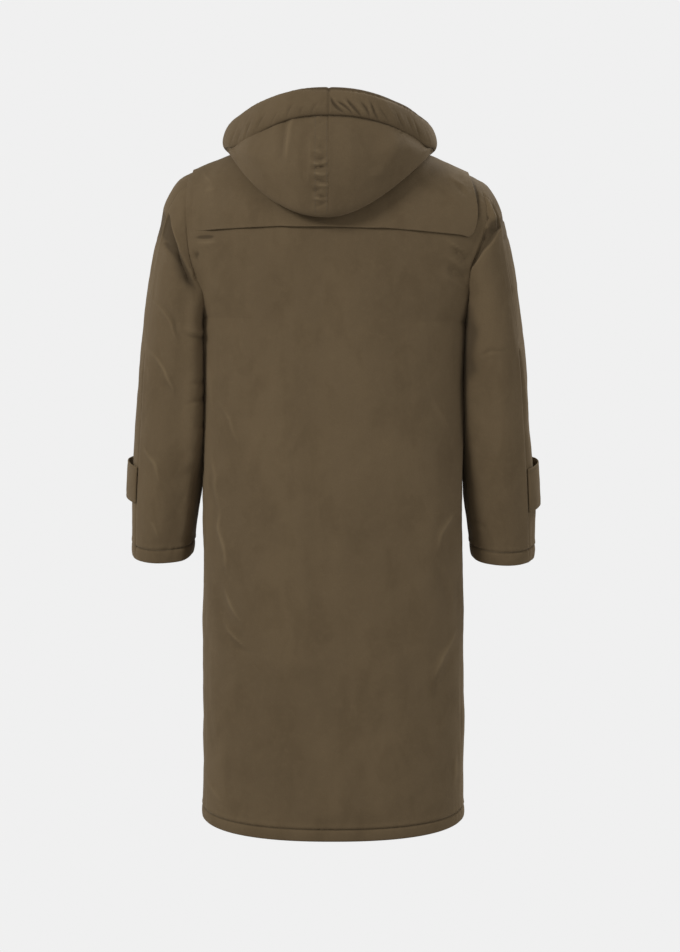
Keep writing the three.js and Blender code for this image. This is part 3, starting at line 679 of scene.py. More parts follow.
def stitches(name, runs, material, pitch=4.2, thread=0.42):
    """One mesh of stitches, one to each pitch along lines of points with normals: a stitch is a bent
    capsule that dives into the cloth at both ends."""
    vertices, polygons, count = [], [], 0
    around = np.arange(STITCH_SIDES) * math.tau / STITCH_SIDES
    along, fat, up = STITCH.T
    for points, normals in runs:
        steps = distances(points)
        places = np.arange(pitch * 0.5, steps[-1] - pitch * 0.5, pitch)
        middle, out = read_line(points, steps, places), unit(read_line(normals, steps, places))
        ahead = unit(read_line(points, steps, places + 1) - read_line(points, steps, places - 1))
        side = unit(np.cross(ahead, out))
        centre = (middle[:, None] + ahead[:, None] * (along * pitch * STITCH_HALF)[None, :, None]
                  + out[:, None] * ((up * thread - STITCH_SUNK)[None, :, None]))
        body = (centre[:, :, None]
                + side[:, None, None] * (thread * fat[None, :, None] * np.cos(around))[..., None]
                + out[:, None, None] * (thread * fat[None, :, None] * np.sin(around))[..., None])
        vertices.append(body.reshape(-1, 3))
        starts = count + np.arange(len(places))[:, None] * len(STITCH) * STITCH_SIDES
        for face in tube_faces(len(STITCH), STITCH_SIDES):
            polygons += (starts + face).tolist()
        count += len(vertices[-1])
    return make_mesh(name, np.concatenate(vertices), polygons, material)


# ---- Materials ----
class Shader:
    """A material's nodes, made by short calls: each returns the socket that comes out."""

    def __init__(self, name):
        self.material = bpy.data.materials.new(name)
        self.material.use_nodes = True
        self.tree = self.material.node_tree
        self.surface = self.tree.nodes["Principled BSDF"]
        self.place = self.node("ShaderNodeTexCoord").outputs["Object"]

    def put(self, value, socket):
        """Joins a socket to the one that feeds it, or sets it to a fixed value."""
        if isinstance(value, bpy.types.NodeSocket):
            self.tree.links.new(value, socket)
        else:
            socket.default_value = value

    def node(self, kind, values=None, **settings):
        """A node with its settings, and values or sockets for its inputs."""
        made = self.tree.nodes.new(kind)
        for key, value in settings.items():
            setattr(made, key, value)
        for key, value in (values or {}).items():
            self.put(value, made.inputs[key])
        return made

    def wear_and_painted_light(self):
        """How much lighter a point of the cloth is, from worn nap and painted highlights, and below 0 how
        much painted shade darkens it.
        """
        return self.node("ShaderNodeAttribute", attribute_name="wear_and_painted_light").outputs["Fac"]

    def noise(self, scale, detail, rough, stretch=(1, 1, 1), distortion=0.0):
        """Noise of a scale given per metre, stretched along the axes; about 0.5 in the middle."""
        mapped = self.node("ShaderNodeMapping", {"Vector": self.place, "Scale": stretch}).outputs[0]
        made = self.node("ShaderNodeTexNoise", {
            "Vector": mapped, "Scale": scale, "Detail": detail, "Roughness": rough, "Distortion": distortion})
        return made.outputs["Fac"]

    def ramp(self, value, low, high, out_low=0.0, out_high=1.0):
        """A value from low to high, eased to run from one figure to another."""
        return self.node("ShaderNodeMapRange", {
            "Value": value, "From Min": low, "From Max": high, "To Min": out_low, "To Max": out_high,
        }, interpolation_type="SMOOTHSTEP").outputs[0]

    def blend(self, factor, a, b):
        """From colour a at factor 0 to colour b at 1."""
        made = self.node("ShaderNodeMix", data_type="RGBA")
        for key, value in (("Factor_Float", factor), ("A_Color", a), ("B_Color", b)):
            self.put(value, next(k for k in made.inputs if k.identifier == key))
        return next(k for k in made.outputs if k.identifier == "Result_Color")

    def bump(self, height, distance, strength, over=None):
        """A normal tilted as by a height of that many metres, over another one where it is given."""
        values = {"Height": height, "Distance": distance, "Strength": strength}
        if over is not None:
            values["Normal"] = over
        return self.node("ShaderNodeBump", values).outputs[0]

    def finish(self, colour, roughness, normal, **fixed):
        """Joins the surface's colour, roughness and normal, and sets what is the same all over."""
        for key, value in dict(Base_Color=colour, Roughness=roughness, Normal=normal, **fixed).items():
            self.put(value, self.surface.inputs[key.replace("_", " ")])
        return self.material


def linear(*screen):
    """A colour from its red, green and blue of 0 to 255: all are above the screen curve's straight
    foot, so each is a power of 2.4."""
    return (*(((value / 255 + 0.055) / 1.055) ** 2.4 for value in screen), 1)


def brushed_cloth(name, base, light, dark, worn, painted_shade):
    """A peached cotton twill: cloudy dye, patches where the nap lies this way or that, a fine nap
    and a fuzz that catches light at a glancing angle. Worn nap and painted highlights turn it towards the
    worn colour, and painted shade darkens it."""
    s = Shader(name)
    broad = s.noise(9, 3, 0.5, stretch=(1, 1, 0.3), distortion=0.3)
    patches = s.noise(26, 3, 0.5, stretch=(1, 1, 0.55), distortion=0.4)
    small = s.noise(95, 3, 0.55)
    fine = s.noise(1100, 3, 0.6)
    colour = s.blend(s.ramp(broad, 0.32, 0.68, 0, 0.75), base, light)
    colour = s.blend(s.ramp(patches, 0.54, 0.30, 0, 0.3), colour, dark)
    colour = s.blend(s.ramp(small, 0.45, 0.78, 0, 0.34), colour, light)
    colour = s.blend(s.ramp(fine, 0.3, 0.7, 0.34, 0), colour, dark)
    # lighter towards the worn colour: worn nap and painted highlights
    colour = s.blend(s.ramp(s.wear_and_painted_light(), 0, 1, 0, 0.75), colour, worn)
    # darker with painted shade
    colour = s.blend(s.ramp(s.wear_and_painted_light(), 0, -1, 0, 0.75), colour, painted_shade)
    roughness = s.ramp(patches, 0.3, 0.7, 0.92, 0.84)
    nap = s.bump(fine, 0.0003, 0.45)
    normal = s.bump(s.noise(210, 4, 0.6), 0.0007, 0.3, nap)
    return s.finish(colour, roughness, normal, Sheen_Weight=0.22, Sheen_Roughness=0.6,
                    Sheen_Tint=linear(190, 170, 140), Specular_IOR_Level=0.15)


def thread_finish(name, colour):
    """Twisted thread: a fine uneven shade, with a bump of the same."""
    s = Shader(name)
    twist = s.noise(2600, 2, 0.5)
    shade = s.blend(s.ramp(twist, 0.35, 0.65), colour, tuple(c * 0.7 for c in colour[:3]) + (1,))
    return s.finish(shade, 0.75, s.bump(twist, 0.0002, 0.4), Sheen_Weight=0.2)


def leather(name):
    """Brown leather: a grain of small cells, dark between them, and paler and smoother where worn."""
    s = Shader(name)
    grain = s.node("ShaderNodeTexVoronoi", {"Vector": s.place, "Scale": 900}, feature="DISTANCE_TO_EDGE")
    cells = s.ramp(grain.outputs["Distance"], 0.0, 0.12)
    worn = s.noise(60, 4, 0.6)
    colour = s.blend(s.ramp(worn, 0.35, 0.7), linear(58, 41, 29), linear(84, 60, 42))
    colour = s.blend(s.ramp(cells, 0, 1, 0.35, 0), colour, linear(34, 24, 17))
    return s.finish(colour, s.ramp(worn, 0.3, 0.7, 0.6, 0.45), s.bump(cells, 0.0002, 0.5))


def horn(name):
    """Polished horn: streaks from dark to pale brown along the bar, under a thin gloss."""
    s = Shader(name)
    streaks = s.noise(45, 6, 0.6, stretch=(0.18, 1, 1), distortion=0.6)
    fine = s.noise(420, 3, 0.6, stretch=(0.08, 1, 1))
    colour = s.blend(s.ramp(streaks, 0.36, 0.64), linear(58, 37, 22), linear(128, 92, 56))
    colour = s.blend(s.ramp(fine, 0.5, 0.75, 0, 0.5), colour, linear(164, 128, 84))
    return s.finish(colour, s.ramp(fine, 0.3, 0.7, 0.24, 0.4), s.bump(fine, 0.0001, 0.3), Coat_Weight=0.25,
                    Coat_Roughness=0.2)


# worn is the colour of worn nap and of painted highlights; the last colour is painted shade
CLOTH_LOOK = brushed_cloth("brushed_cloth", base=linear(94, 79, 58), light=linear(104, 88, 65),
                           dark=linear(80, 66, 47), worn=linear(132, 114, 86), painted_shade=linear(62, 51, 36))
THREAD_LOOK = thread_finish("sewing_thread", linear(84, 72, 54))
LEATHER_LOOK = leather("brown_leather")
CORD_LOOK = thread_finish("braided_cord", linear(70, 55, 38))
HORN_LOOK = horn("polished_horn")


# ---- The creases, piece by piece, in the columns that creases and laps read ----
# In the last column of the crease tables, above 0 is worn nap and below 0 is painted shade in the crease.
BACK_CREASES = [
    (-212, -333, -203, -459, 3, 5, 1.6, 0.5),
    (-191, -435, -161, -499, -4, 4, 1.2, 0.6),
    (-206, -513, -193, -615, 3, 5, 2.2, 0.6),
    (-197, -608, -179, -719, 3, 5, 2.6, 0.9),
    (-208, -560, -200, -700, 2, 9, -2.2, -0.2),
    (-178, -560, -160, -690, 6, 14, -1.8, -0.1),
    (175, -422, 200, -479, 5, 5, 1.2, 0.4),
    (209, -616, 176, -686, 5, 5, 2.4, 0.9),
    (216, -630, 192, -712, 4, 9, -2.0, -0.2),
    (-186, -748, -156, -806, 3, 4, 2.2, 0.9),
    (-198, -742, -170, -820, 5, 9, -1.8, -0.25),
    (-183, -810, -144, -851, 4, 4, 2.2, 0.9),
    (-176, -826, -140, -866, 4, 8, -1.6, -0.3),
    (-165, -868, -189, -938, -8, 10, 1.4, 0.2),
    (213, -830, 170, -905, 4, 4, 2.6, 1.0),
    (220, -846, 184, -922, 5, 9, -2.0, -0.3),
    (191, -707, 207, -799, -4, 6, 1.8, 0.4),
    (182, -716, 199, -806, -4, 8, -1.5, -0.3),
    (217, -1046, 213, -1102, 2, 4, 1.6, 0.8),
    (183, -999, 204, -1042, -3, 9, -1.3, -0.2),
    (-219, -1088, -189, -1128, 3, 4, 1.6, 0.6),
    (-231, -154, -199, -153, 0, 3, -2.4, -3.0),
    (-221, -266, -217, -440, 2, 3.5, 0.9, 0.9),
    (219, -300, 218, -400, 1, 3, 0.6, 0.5),
    (-228, -163, -192, -161, 0, 5, 2.0, 0.7),
    (-232, -188, -224, -176, 1, 4, -3.0, -1.6),
    (-233, -176, -227, -200, 1, 3, -2.6, -0.6),
    (-211, -195, -187, -262, -6, 16, 2.2, 0.25),
    (-224, -206, -210, -284, -4, 12, -1.8, -0.1),
    (190, -154, 230, -180, 3, 4, 2.8, 0.7),
    (202, -170, 233, -196, 2, 4, -3.2, -0.9),
    (186, -184, 232, -208, 3, 5, 2.6, 0.6),
    (192, -204, 230, -224, -2, 5, -2.8, -0.7),
    (182, -216, 226, -240, -3, 6, 2.0, 0.4),
    (-215, -308, -199, -342, 3, 7, -1.4, -0.2),
    (-55, -258, -69, -459, 14, 30, 1.5, 0.1),
    (79, -308, 96, -543, -18, 34, 1.5, 0.05),
    (-141, -938, -122, -1077, 10, 22, 1.5, 0.1),
    (148, -920, 166, -1042, -9, 20, -1.4, -0.1),
    (-8, -540, -30, -930, 18, 36, -1.6, -0.08),
    (-96, -700, -84, -900, 14, 26, 1.4, 0.05),
    (60, -760, 40, -980, -14, 30, 1.5, 0.05),
]
FRONT_CREASES = [
    (-214, -190, -190, -262, -6, 14, 2.2, 0.2),
    (-224, -160, -194, -158, 0, 5, -2.4, -0.5),
    (214, -186, 190, -258, 6, 14, 2.2, 0.2),
    (196, -160, 226, -182, 3, 5, -2.2, -0.4),
    (-206, -513, -193, -615, 3, 5, 2.0, 0.6),
    (-196, -640, -168, -742, 6, 4, 2.2, 0.8),
    (-206, -650, -180, -756, 6, 9, -1.8, -0.25),
    (-186, -800, -150, -890, -4, 4, 2.0, 0.8),
    (205, -560, 196, -650, -3, 5, 2.0, 0.6),
    (200, -620, 168, -700, -4, 4, 2.3, 0.8),
    (208, -640, 180, -724, -5, 9, -1.8, -0.25),
    (196, -780, 160, -880, 5, 4, 2.2, 0.8),
    (212, -1010, 206, -1090, 2, 4, 1.6, 0.6),
    (-104, -330, -118, -620, 18, 30, 1.5, 0.05),
    (118, -360, 106, -640, -18, 32, 1.5, 0.05),
    (-112, -720, -96, -1060, 16, 30, -1.5, -0.05),
    (132, -760, 120, -1080, -14, 30, 1.5, 0.05),
    (-160, -890, -168, -1110, 9, 18, 1.5, 0.05),
    (176, -900, 180, -1110, -9, 18, -1.5, -0.05),
    (40, -200, 88, -310, 10, 8, 1.5, 0.3),
    (38, -360, 92, -450, 8, 8, 1.4, 0.3),
    (-12, -210, -72, -300, -8, 8, 1.5, 0.3),
    (-14, -510, -76, -590, -8, 8, 1.3, 0.2),
]
SLEEVE_CREASES = {
    (LEFT, BACK): [
        (-296, -104, -280, -158, 2, 15, -1.0, -2.0),
        (-293, -160, -246, -202, -3, 6, -4.6, -2.0),
        (-292, -166, -250, -222, -4, 9, 2.4, 0.2),
        (-246, -214, -226, -236, 2, 7, -3.0, -0.5),
        (-310, -256, -263, -329, -7, 4, 3.0, 1.0),
        (-302, -262, -256, -332, -7, 7, -2.6, -0.7),
        (-233, -259, -220, -280, 2, 4, -2.4, -0.6),
        (-221, -286, -219, -372, 0, 9, -0.1, -2.0),
        (-256, -306, -220, -325, -4, 6, 1.6, 0.3),
        (-250, -316, -218, -336, -4, 5, -1.8, -1.0),
        (-312, -341, -272, -419, -5, 4, 2.4, 0.9),
        (-320, -352, -284, -424, -5, 8, -1.6, -0.15),
        (-248, -402, -222, -390, 2, 4, -1.8, -0.4),
        (-252, -436, -221, -416, 2, 4, -2.0, -0.4),
        (-242, -478, -221, -457, 2, 5, -1.8, -0.3),
        (-328, -510, -299, -574, -5, 4, 2.2, 0.8),
        (-319, -640, -300, -671, -2, 3.5, 1.5, 0.7),
        (-263, -550, -232, -516, 4, 8, 1.5, 0.1),
        (-270, -600, -240, -640, -4, 9, -1.3, -0.15),
    ],
    (RIGHT, BACK): [
        (283, -120, 236, -184, 2, 9, -1.4, -2.6),
        (262, -90, 276, -140, -3, 4, 3.4, 0.7),
        (270, -88, 283, -134, -3, 4, -3.6, -0.9),
        (281, -100, 282, -126, 2, 4, 1.0, 0.8),
        (248, -112, 266, -120, 2, 4, -3.6, -1.6),
        (246, -128, 268, -138, 2, 4, 3.0, 1.2),
        (244, -146, 260, -158, 2, 4, -3.2, -1.5),
        (246, -84, 260, -88, 1, 4, -2.4, -1.3),
        (233, -262, 235, -410, 0, 13, -0.1, -2.4),
        (254, -354, 295, -342, -3, 3, -1.8, -0.5),
        (256, -361, 290, -350, -3, 4, 0.9, 0.2),
        (321, -310, 332, -450, 2, 5, 1.6, 0.4),
        (329, -481, 335, -665, 1, 4, 1.2, 0.3),
        (239, -637, 265, -657, -2, 5, -1.3, -0.3),
        (245, -498, 273, -550, -4, 9, -1.4, -0.1),
        (286, -498, 267, -602, 5, 12, 1.3, 0.1),
        (234, -430, 262, -464, -3, 7, -1.3, -0.15),
    ],
    (LEFT, FRONT): [
        (-300, -160, -256, -214, -4, 5, -3.6, -0.6),
        (-312, -240, -262, -300, -6, 4, 2.2, 0.6),
        (-326, -330, -268, -400, 6, 6, -2.6, -0.4),
        (-334, -380, -276, -440, -6, 4, 2.2, 0.7),
        (-336, -450, -280, -500, 6, 6, -2.2, -0.3),
        (-262, -520, -250, -620, 5, 9, 1.6, 0.1),
        (-330, -560, -300, -640, 5, 5, 1.6, 0.4),
        (-250, -300, -222, -280, 2, 5, -2.2, -0.4),
    ],
    (RIGHT, FRONT): [
        (298, -146, 254, -206, 4, 5, -3.6, -0.6),
        (314, -232, 264, -292, 6, 4, 2.2, 0.6),
        (328, -318, 266, -380, -6, 6, -2.6, -0.4),
        (334, -396, 280, -446, 6, 4, 2.2, 0.7),
        (338, -470, 284, -524, -6, 6, -2.2, -0.3),
        (264, -540, 252, -640, -5, 9, 1.6, 0.1),
        (334, -590, 306, -660, -5, 5, 1.5, 0.4),
        (250, -290, 222, -270, -2, 5, -2.2, -0.4),
    ],
}
SLEEVE_LAPS = {
    (LEFT, BACK): [
        (-281, -102, -228, -250, 4, 11, 15),
    ],
    (RIGHT, BACK): [
        (298, -120, 226, -217, 1, 9, 17),
    ],
    (LEFT, FRONT): [
        (-290, -104, -240, -230, 4, 8, 17),
        (-318, -420, -262, -470, -5, 4, 12),
    ],
    (RIGHT, FRONT): [
        (238, -226, 290, -108, 4, 8, 17),
        (262, -330, 320, -300, 4, 4, 12),
    ],
}
HOOD_CREASES = {
    LEFT: [
        (-65, 46, -78, -40, 3, 5, 2.8, 0.8),
        (-74, 46, -87, -36, 3, 6, -2.6, -0.7),
        (-35, 10, -40, -76, 2, 5, 1.8, 0.5),
        (-44, 6, -48, -70, 2, 6, -1.4, -0.3),
        (-110, 30, -70, -40, 10, 14, -1.4, -0.1),
        (-140, 2, -112, -34, 6, 9, 1.3, 0.1),
        (-52, -40, -84, -84, 7, 12, 1.4, 0.1),
    ],
    RIGHT: [
        (54, 30, 66, -56, -10, 20, -3.2, -0.3),
        (96, 26, 84, -40, -8, 14, 1.8, 0.15),
        (124, 6, 98, -30, -6, 8, -1.6, -0.15),
        (28, 40, 34, -50, 5, 9, 1.3, 0.1),
        (60, -50, 92, -66, -6, 11, 1.5, 0.1),
    ],
}
YOKE_CREASES = [
    (-221, -43, -201, -66, 2, 4, 1.6, 0.5),
    (-218, -76, -195, -73, 1, 4, 1.4, 0.5),
    (199, -53, 219, -69, 1, 4, 1.5, 0.4),
    (206, -64, 222, -86, 1, 4, -1.6, -0.3),
    (-168, -92, -138, -116, 4, 8, -1.2, -0.1),
]

# About how many millimetres 1 is, or 1 radian round a sleeve, in what each surface is counted in.
RUN = dict(seam=230, girth=290, trunk=ARMPIT - HEM, shoulder=180, yoke=200, front=250, sleeve=650,
           sleeve_head=500, sleeve_round=75, hood=200, hood_head=380)
TURNED = 2.2          # how far a turned edge reaches into its panel
SEAM_U = SEAM / 2 / RUN["seam"]
U_EDGE, LEVEL_EDGE, HEAD_EDGE = (TURNED / RUN[name] for name in ("girth", "trunk", "shoulder"))

# How far the lines of stitches lie from the edges.
HEM_STITCH, CUFF_STITCH, EDGE_STITCH, FACING_STITCH, TAB_STITCH, PATCH_STITCH = 21, 24.5, 8, 30, 6, 3.2


def ground(x, z, seed):
    """The unevenness of soft padded cloth: slow swells and smaller lumps of the filling."""
    slow = 1.5 * clouds(x, z, 190, seed)
    return slow + 0.5 * clouds(x, z, 62, seed + 3) + 0.16 * clouds(x, z, 24, seed + 5)


def seam_valley(distance, depth=1.6, width=5.0):
    """Padded cloth sinks towards a seam and swells a little beside it."""
    return groove(distance, depth, width) + 0.5 * depth * bell(distance - 2.6 * width, 1.6 * width)


def hem_band(s, foot, stitch, seed):
    """A turned and topstitched hem: a puffy band under a narrow sewn channel, that the cloth above
    bulges over, and light gathers. Returns its height, and a lighter line just above the channel with painted
    shade in it."""
    band = 1.1 * np.sin(np.clip(foot / stitch, 0, 1) * math.pi) ** 0.8
    bulge = 0.9 * bell(foot - stitch - 4.5, 4)
    channel = groove(foot - stitch, 2.8, 1.5)
    gathers = puckers(s, foot - stitch, 14, 0.5, 9, seed) * ease(foot / 4)
    # lighter just above the channel, painted shade in the channel
    wear_and_painted_light = 0.22 * bell(foot - stitch - 3, 1.6) - 0.8 * bell(foot - stitch, 1.3)
    return band + bulge + channel + gathers, wear_and_painted_light


def under_hood(x, z, front):
    """1 where the folded hood lies on the body and presses it flat, 0 away from it."""
    return ease((z + 66) / 40) if front else ease((z + 150) / 36) * ease((150 - np.abs(x)) / 40)


def trunk_relief(cloth, u, face):
    """What the layers of one face of the body share, so that they lie on each other: creases and
    swells that die away towards the side seams, the armholes, the hem and under the hood."""
    x, z = cloth.x, cloth.z
    table, seed = (BACK_CREASES, 11) if face == BACK else (FRONT_CREASES, 23)
    side = (1 - np.abs(u)) * RUN["girth"]
    armpit = bell(z - ARMPIT - 4, 12) * ease((np.abs(x) - 165) / 45)
    calm = ease(side / 16) * ease((z - HEM) / 40) * (1 - under_hood(x, z, face == FRONT)) * (1 - armpit)
    height, wear_and_painted_light = creases(x, z, table, seed)
    return (height + ground(x, z, seed + 1)) * calm, wear_and_painted_light * calm


def by_armhole(z):
    """1 beside the armhole, 0 from the armpit down."""
    return ease((z - ARMPIT - 8) / 60)


def side_seam(cloth, seam):
    """The valley at the side seam, from above the hem to where the sleeve lies on it."""
    valley = seam_valley(seam, 0.4, 3) * ease(cloth.foot / 30)
    return valley * (1 - beside_sleeve(cloth.z)) * (1 - by_armhole(cloth.z))


def beside_sleeve(z):
    """1 where the body's side and the sleeve's inside press on each other, 0 above and below."""
    return ease((-225 - z) / 45) * ease((z + 620) / 60)


def rows_between(stops, counts, edge_low, edge_high):
    """Values that run evenly between stops, with two more close to each end for the turned edges."""
    runs = [np.linspace(a, b, n, endpoint=False) for a, b, n in zip(stops[:-1], stops[1:], counts)]
    rows = np.concatenate([*runs, [stops[-1]]])
    rows = rows[(rows > stops[0] + edge_low * 1.5) & (rows < stops[-1] - edge_high * 1.5)]
    return np.concatenate([stops[0] + np.array([0, 0.3, 1]) * edge_low, rows,
                           stops[-1] - np.array([1, 0.3, 0]) * edge_high])


def ease_armhole(points, side):
    """Behind, the sleeve's seam runs in towards the body at the height of the shoulder blade, and on
    the right runs out above it: points near it move in x, by bell curves of height, of distance from
    the seam and of depth."""
    x, y, z = np.moveaxis(points, -1, 0)
    way = np.sign(x) if side is None else side
    right = 11 * bell(z + 214, 36) - 13 * bell(z + 112, 46)
    left = 6 * bell(z + 236, 34)
    near = bell(np.abs(x) - ARMHOLE["x"], 42) * ease(-y / 60)
    return points - vector(way * np.where(way > 0, right, left) * near, 0, 0)


# ---- The body ----
SHOULDER_TOP = 3 - 4 * SEAM_U
BODY_STOPS, BODY_COUNTS = [0, 0.06, 1, 2, SHOULDER_TOP], [26, 224, 36, 50]
ARMHOLE_FILL = 2.6      # how far the cloth swells over the left armhole's seam behind, which hides it
YOKE_CORNER = (0.045, 0.075)     # how far its lower corners are rounded, in u and in level
YOKE_REACH = {LEFT: YOKE["reach"], RIGHT: 0.905}
# Painted shade, with shallow troughs, on the back just outside the yoke's right edge and lower corner.
SHADE_BESIDE_YOKE = [
    (239, -60, 246, -124, -2, 3.5, -1.2, -2.4),
    (246, -112, 238, -144, 3, 3.5, -1.2, -2.4),
    (241, -138, 218, -151, 3, 3, -0.8, -1.6),
]


def make_panel(name, cloth, wall=CLOTH, runs=(), thread=None, **turned):
    """Builds a panel in place of its solid, with the stitches of its runs, and measures its cut."""
    piece = cloth.build(wall, CLOTH_LOOK, "shell_cloth", **turned)
    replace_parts(piece, name)
    sewn = [stitches(thread or name + "_stitches", runs, THREAD_LOOK)] if runs else []
    flat, area = cloth.flat()


def steady_normals(cloth, levels):
    """Just above the armpit's level the rows lie too close together for true normals: there they
    are eased by height between the rows below and above."""
    low, high = np.searchsorted(levels, (0.99, 1.3))
    heights = cloth.z[low:high + 1].mean(1)
    t = ((heights - heights[0]) / (heights[-1] - heights[0]))[:, None, None]
    cloth.normal[low:high + 1] = unit(mix(cloth.normal[low][None], cloth.normal[high][None], t))


def make_back():
    """The back, from side seam to side seam and from hem to neck: the trunk's surface behind."""
    us = with_edges(-1 + SEAM_U, 1 - SEAM_U, 216, U_EDGE)
    levels = rows_between(BODY_STOPS, BODY_COUNTS, LEVEL_EDGE, HEAD_EDGE)
    u, level = np.meshgrid(us, levels)
    cloth = Cloth("back_cloth", ease_armhole(trunk_point(u, level, BACK), None))
    steady_normals(cloth, levels)
    side = np.minimum(cloth.first, cloth.last)
    armhole = by_armhole(cloth.z)
    low = armhole * ease((-150 - cloth.z) / 60) * (cloth.x > 0)
    cloth.add(trunk_relief(cloth, u, BACK))
    cloth.add(hem_band(cloth.first, cloth.foot, HEM_STITCH, 31))
    cloth.relief += side_seam(cloth, side)
    bulge = np.where(cloth.x > 0, 4, 2) * beside_sleeve(cloth.z)
    cloth.relief += bulge * np.exp(-np.abs(cloth.y) / 35)
    within = np.where(u < 0, YOKE_REACH[LEFT] + u, YOKE_REACH[RIGHT] - u)
    under_yoke = ease((level - YOKE["bottom"] + 0.02) / 0.04) * ease(within / 0.02)
    cloth.relief -= 0.9 * under_yoke
    cloth.add(creases(cloth.x, cloth.z, SHADE_BESIDE_YOKE, 39, 1.0))
    gathers = puckers(cloth.foot, side, 15, 0.55, 9, 37)
    cloth.relief += gathers * ease(side / 3) * armhole + low * np.exp(-side / 9)
    filled = armhole * ease((-30 - cloth.y) / 40)
    cloth.relief += ARMHOLE_FILL * filled * bell(cloth.first, 16)
    # Painted lightening along the back's edges at the armhole seams, against the shadow line there.
    cloth.wear_and_painted_light += 0.3 * filled * bell(cloth.first, 2)
    cloth.wear_and_painted_light += 0.3 * low * bell(side, 2.5)
    cloth.draw_out("first", 1.2, 0.12)
    cloth.draw_out("last", 1.2)
    cloth.draw_out("head", 1.2)
    make_panel("back", cloth, runs=[cloth.line("foot", HEM_STITCH)], thread="back_hem_stitches",
               sewn=("first", "last", "head"))


def make_yoke():
    """The yoke lies on the back's own points, and its lower edge stands off, most at the middle."""
    bottom, top = YOKE["bottom"], SHOULDER_TOP
    us = with_edges(-YOKE_REACH[LEFT], YOKE_REACH[RIGHT], 210, U_EDGE)
    levels = rows_between([bottom, top], [72], TURNED / RUN["yoke"], HEAD_EDGE)
    u, level = np.meshgrid(us, levels)
    reach = np.where(u < 0, YOKE_REACH[LEFT], YOKE_REACH[RIGHT])
    corner = np.clip((np.abs(u) - reach + YOKE_CORNER[0]) / YOKE_CORNER[0], 0, 0.999)
    lift = YOKE_CORNER[1] * (1 - np.sqrt(1 - corner ** 2)) - 0.01 * bell(u - 0.87, 0.05)
    level = mix(bottom + lift, top, (level - bottom) / (top - bottom))
    cloth = Cloth("yoke_cloth", ease_armhole(trunk_point(u, level, BACK), None))
    gape = 1.2 + 2.6 * bell(cloth.x + 14, 44) + 0.7 * wander(cloth.first, 70, 41)
    side = np.minimum(cloth.first, cloth.last)
    let_in = (1 - ease((cloth.first - 27) / 26)) * ease((-20 - cloth.y) / 40)
    stand = YOKE["wall"] + 0.35 + np.exp(-cloth.foot / 10) * gape + 0.9 * np.exp(-cloth.last / 4)
    cloth.relief += SEAM + stand * (1 - 0.94 * let_in)
    cloth.add(trunk_relief(cloth, u, BACK))
    cloth.add(creases(cloth.x, cloth.z, YOKE_CREASES, 45), ease(cloth.edge() / 4))
    cloth.relief += seam_valley(cloth.head, 0.8, 3) * (np.abs(cloth.x) > NECK_WIDTH)
    cloth.relief += puckers(cloth.foot, side, 15, 0.5, 9, 43) * ease(side / 3)
    # Painted highlight along the yoke's lower and right edges.
    cloth.wear_and_painted_light += 0.25 * bell(cloth.foot, 2.5) + 0.6 * bell(cloth.last, 2.5)
    make_panel("back_yoke", cloth, YOKE["wall"], inner_step=4, sewn=("head",))


def make_front(name, side):
    """A front, from its free edge to the side seam: the trunk's surface before. The right one sinks
    under the left by an eased step."""
    reach = NECK_WIDTH + FRONT_EDGE["overlap"]
    parts = rows_between([-1, 0, 1 - SEAM_U], [35, 72], TURNED / reach, TURNED / RUN["front"])
    parts = parts if side == LEFT else parts[::-1]
    levels = rows_between(BODY_STOPS, [18, 156, 28, 38], LEVEL_EDGE, HEAD_EDGE)
    part, level = np.meshgrid(parts, levels)
    cloth = Cloth(name + "_cloth", front_point(side, part, level))
    steady_normals(cloth, levels)
    x = NECK_WIDTH + np.minimum(part, 0) * reach
    sink = 0
    if side == RIGHT:
        over = FRONT_EDGE["sink_from"] - FRONT_EDGE["sink_to"]
        sink = FRONT_EDGE["sink"] * ease((FRONT_EDGE["sink_from"] - x) / over)
    which_seam, which_free = ("last", "first") if side == LEFT else ("first", "last")
    seam, free = getattr(cloth, which_seam), getattr(cloth, which_free)
    armhole = by_armhole(cloth.z)
    cloth.add(trunk_relief(cloth, np.maximum(part, 0), FRONT), keep_flat(cloth.x, cloth.z))
    cloth.add(hem_band(cloth.first, cloth.foot, HEM_STITCH, 53 + side))
    cloth.relief += side_seam(cloth, seam)
    cloth.relief += 1.1 * beside_sleeve(cloth.z) * np.exp(-np.abs(cloth.y) / 30)
    cloth.relief += puckers(cloth.foot, seam, 15, 0.6, 10, 57 + side) * armhole * ease(seam / 3)
    cloth.relief += groove(free - EDGE_STITCH, 1.1, 1.6) + groove(free - FACING_STITCH, 1.1, 1.6)
    cloth.relief += puckers(cloth.foot, free - EDGE_STITCH, 13, 0.35, 9, 61 + side) - sink
    runs = [cloth.line("foot", HEM_STITCH)]
    if side == LEFT:
        runs += [cloth.line(which_free, EDGE_STITCH), cloth.line(which_free, FACING_STITCH)]
    make_panel(name, cloth, runs=runs, sewn=(which_seam, "head"))


def keep_flat(x, z):
    """0 under the toggles' patches, 1 away from them."""
    near = [ease((42 - np.abs(z - height)) / 20) for height in CLOSURE_HEIGHTS]
    return 1 - np.max(near, axis=0) * ease((112 - np.abs(x - PATCH["centre"])) / 26)


# ---- Sleeves ----
SLEEVE_PRESS = {LEFT: 12, RIGHT: 6}      # how far the inside of a sleeve swells against the back
SLEEVE_SQUARE = {LEFT: 16, RIGHT: 11}   # how far its section fills out at the inner back
CUFF_AWAY = {LEFT: 8, RIGHT: 3.5}       # how far its inside keeps from the body at the cuff


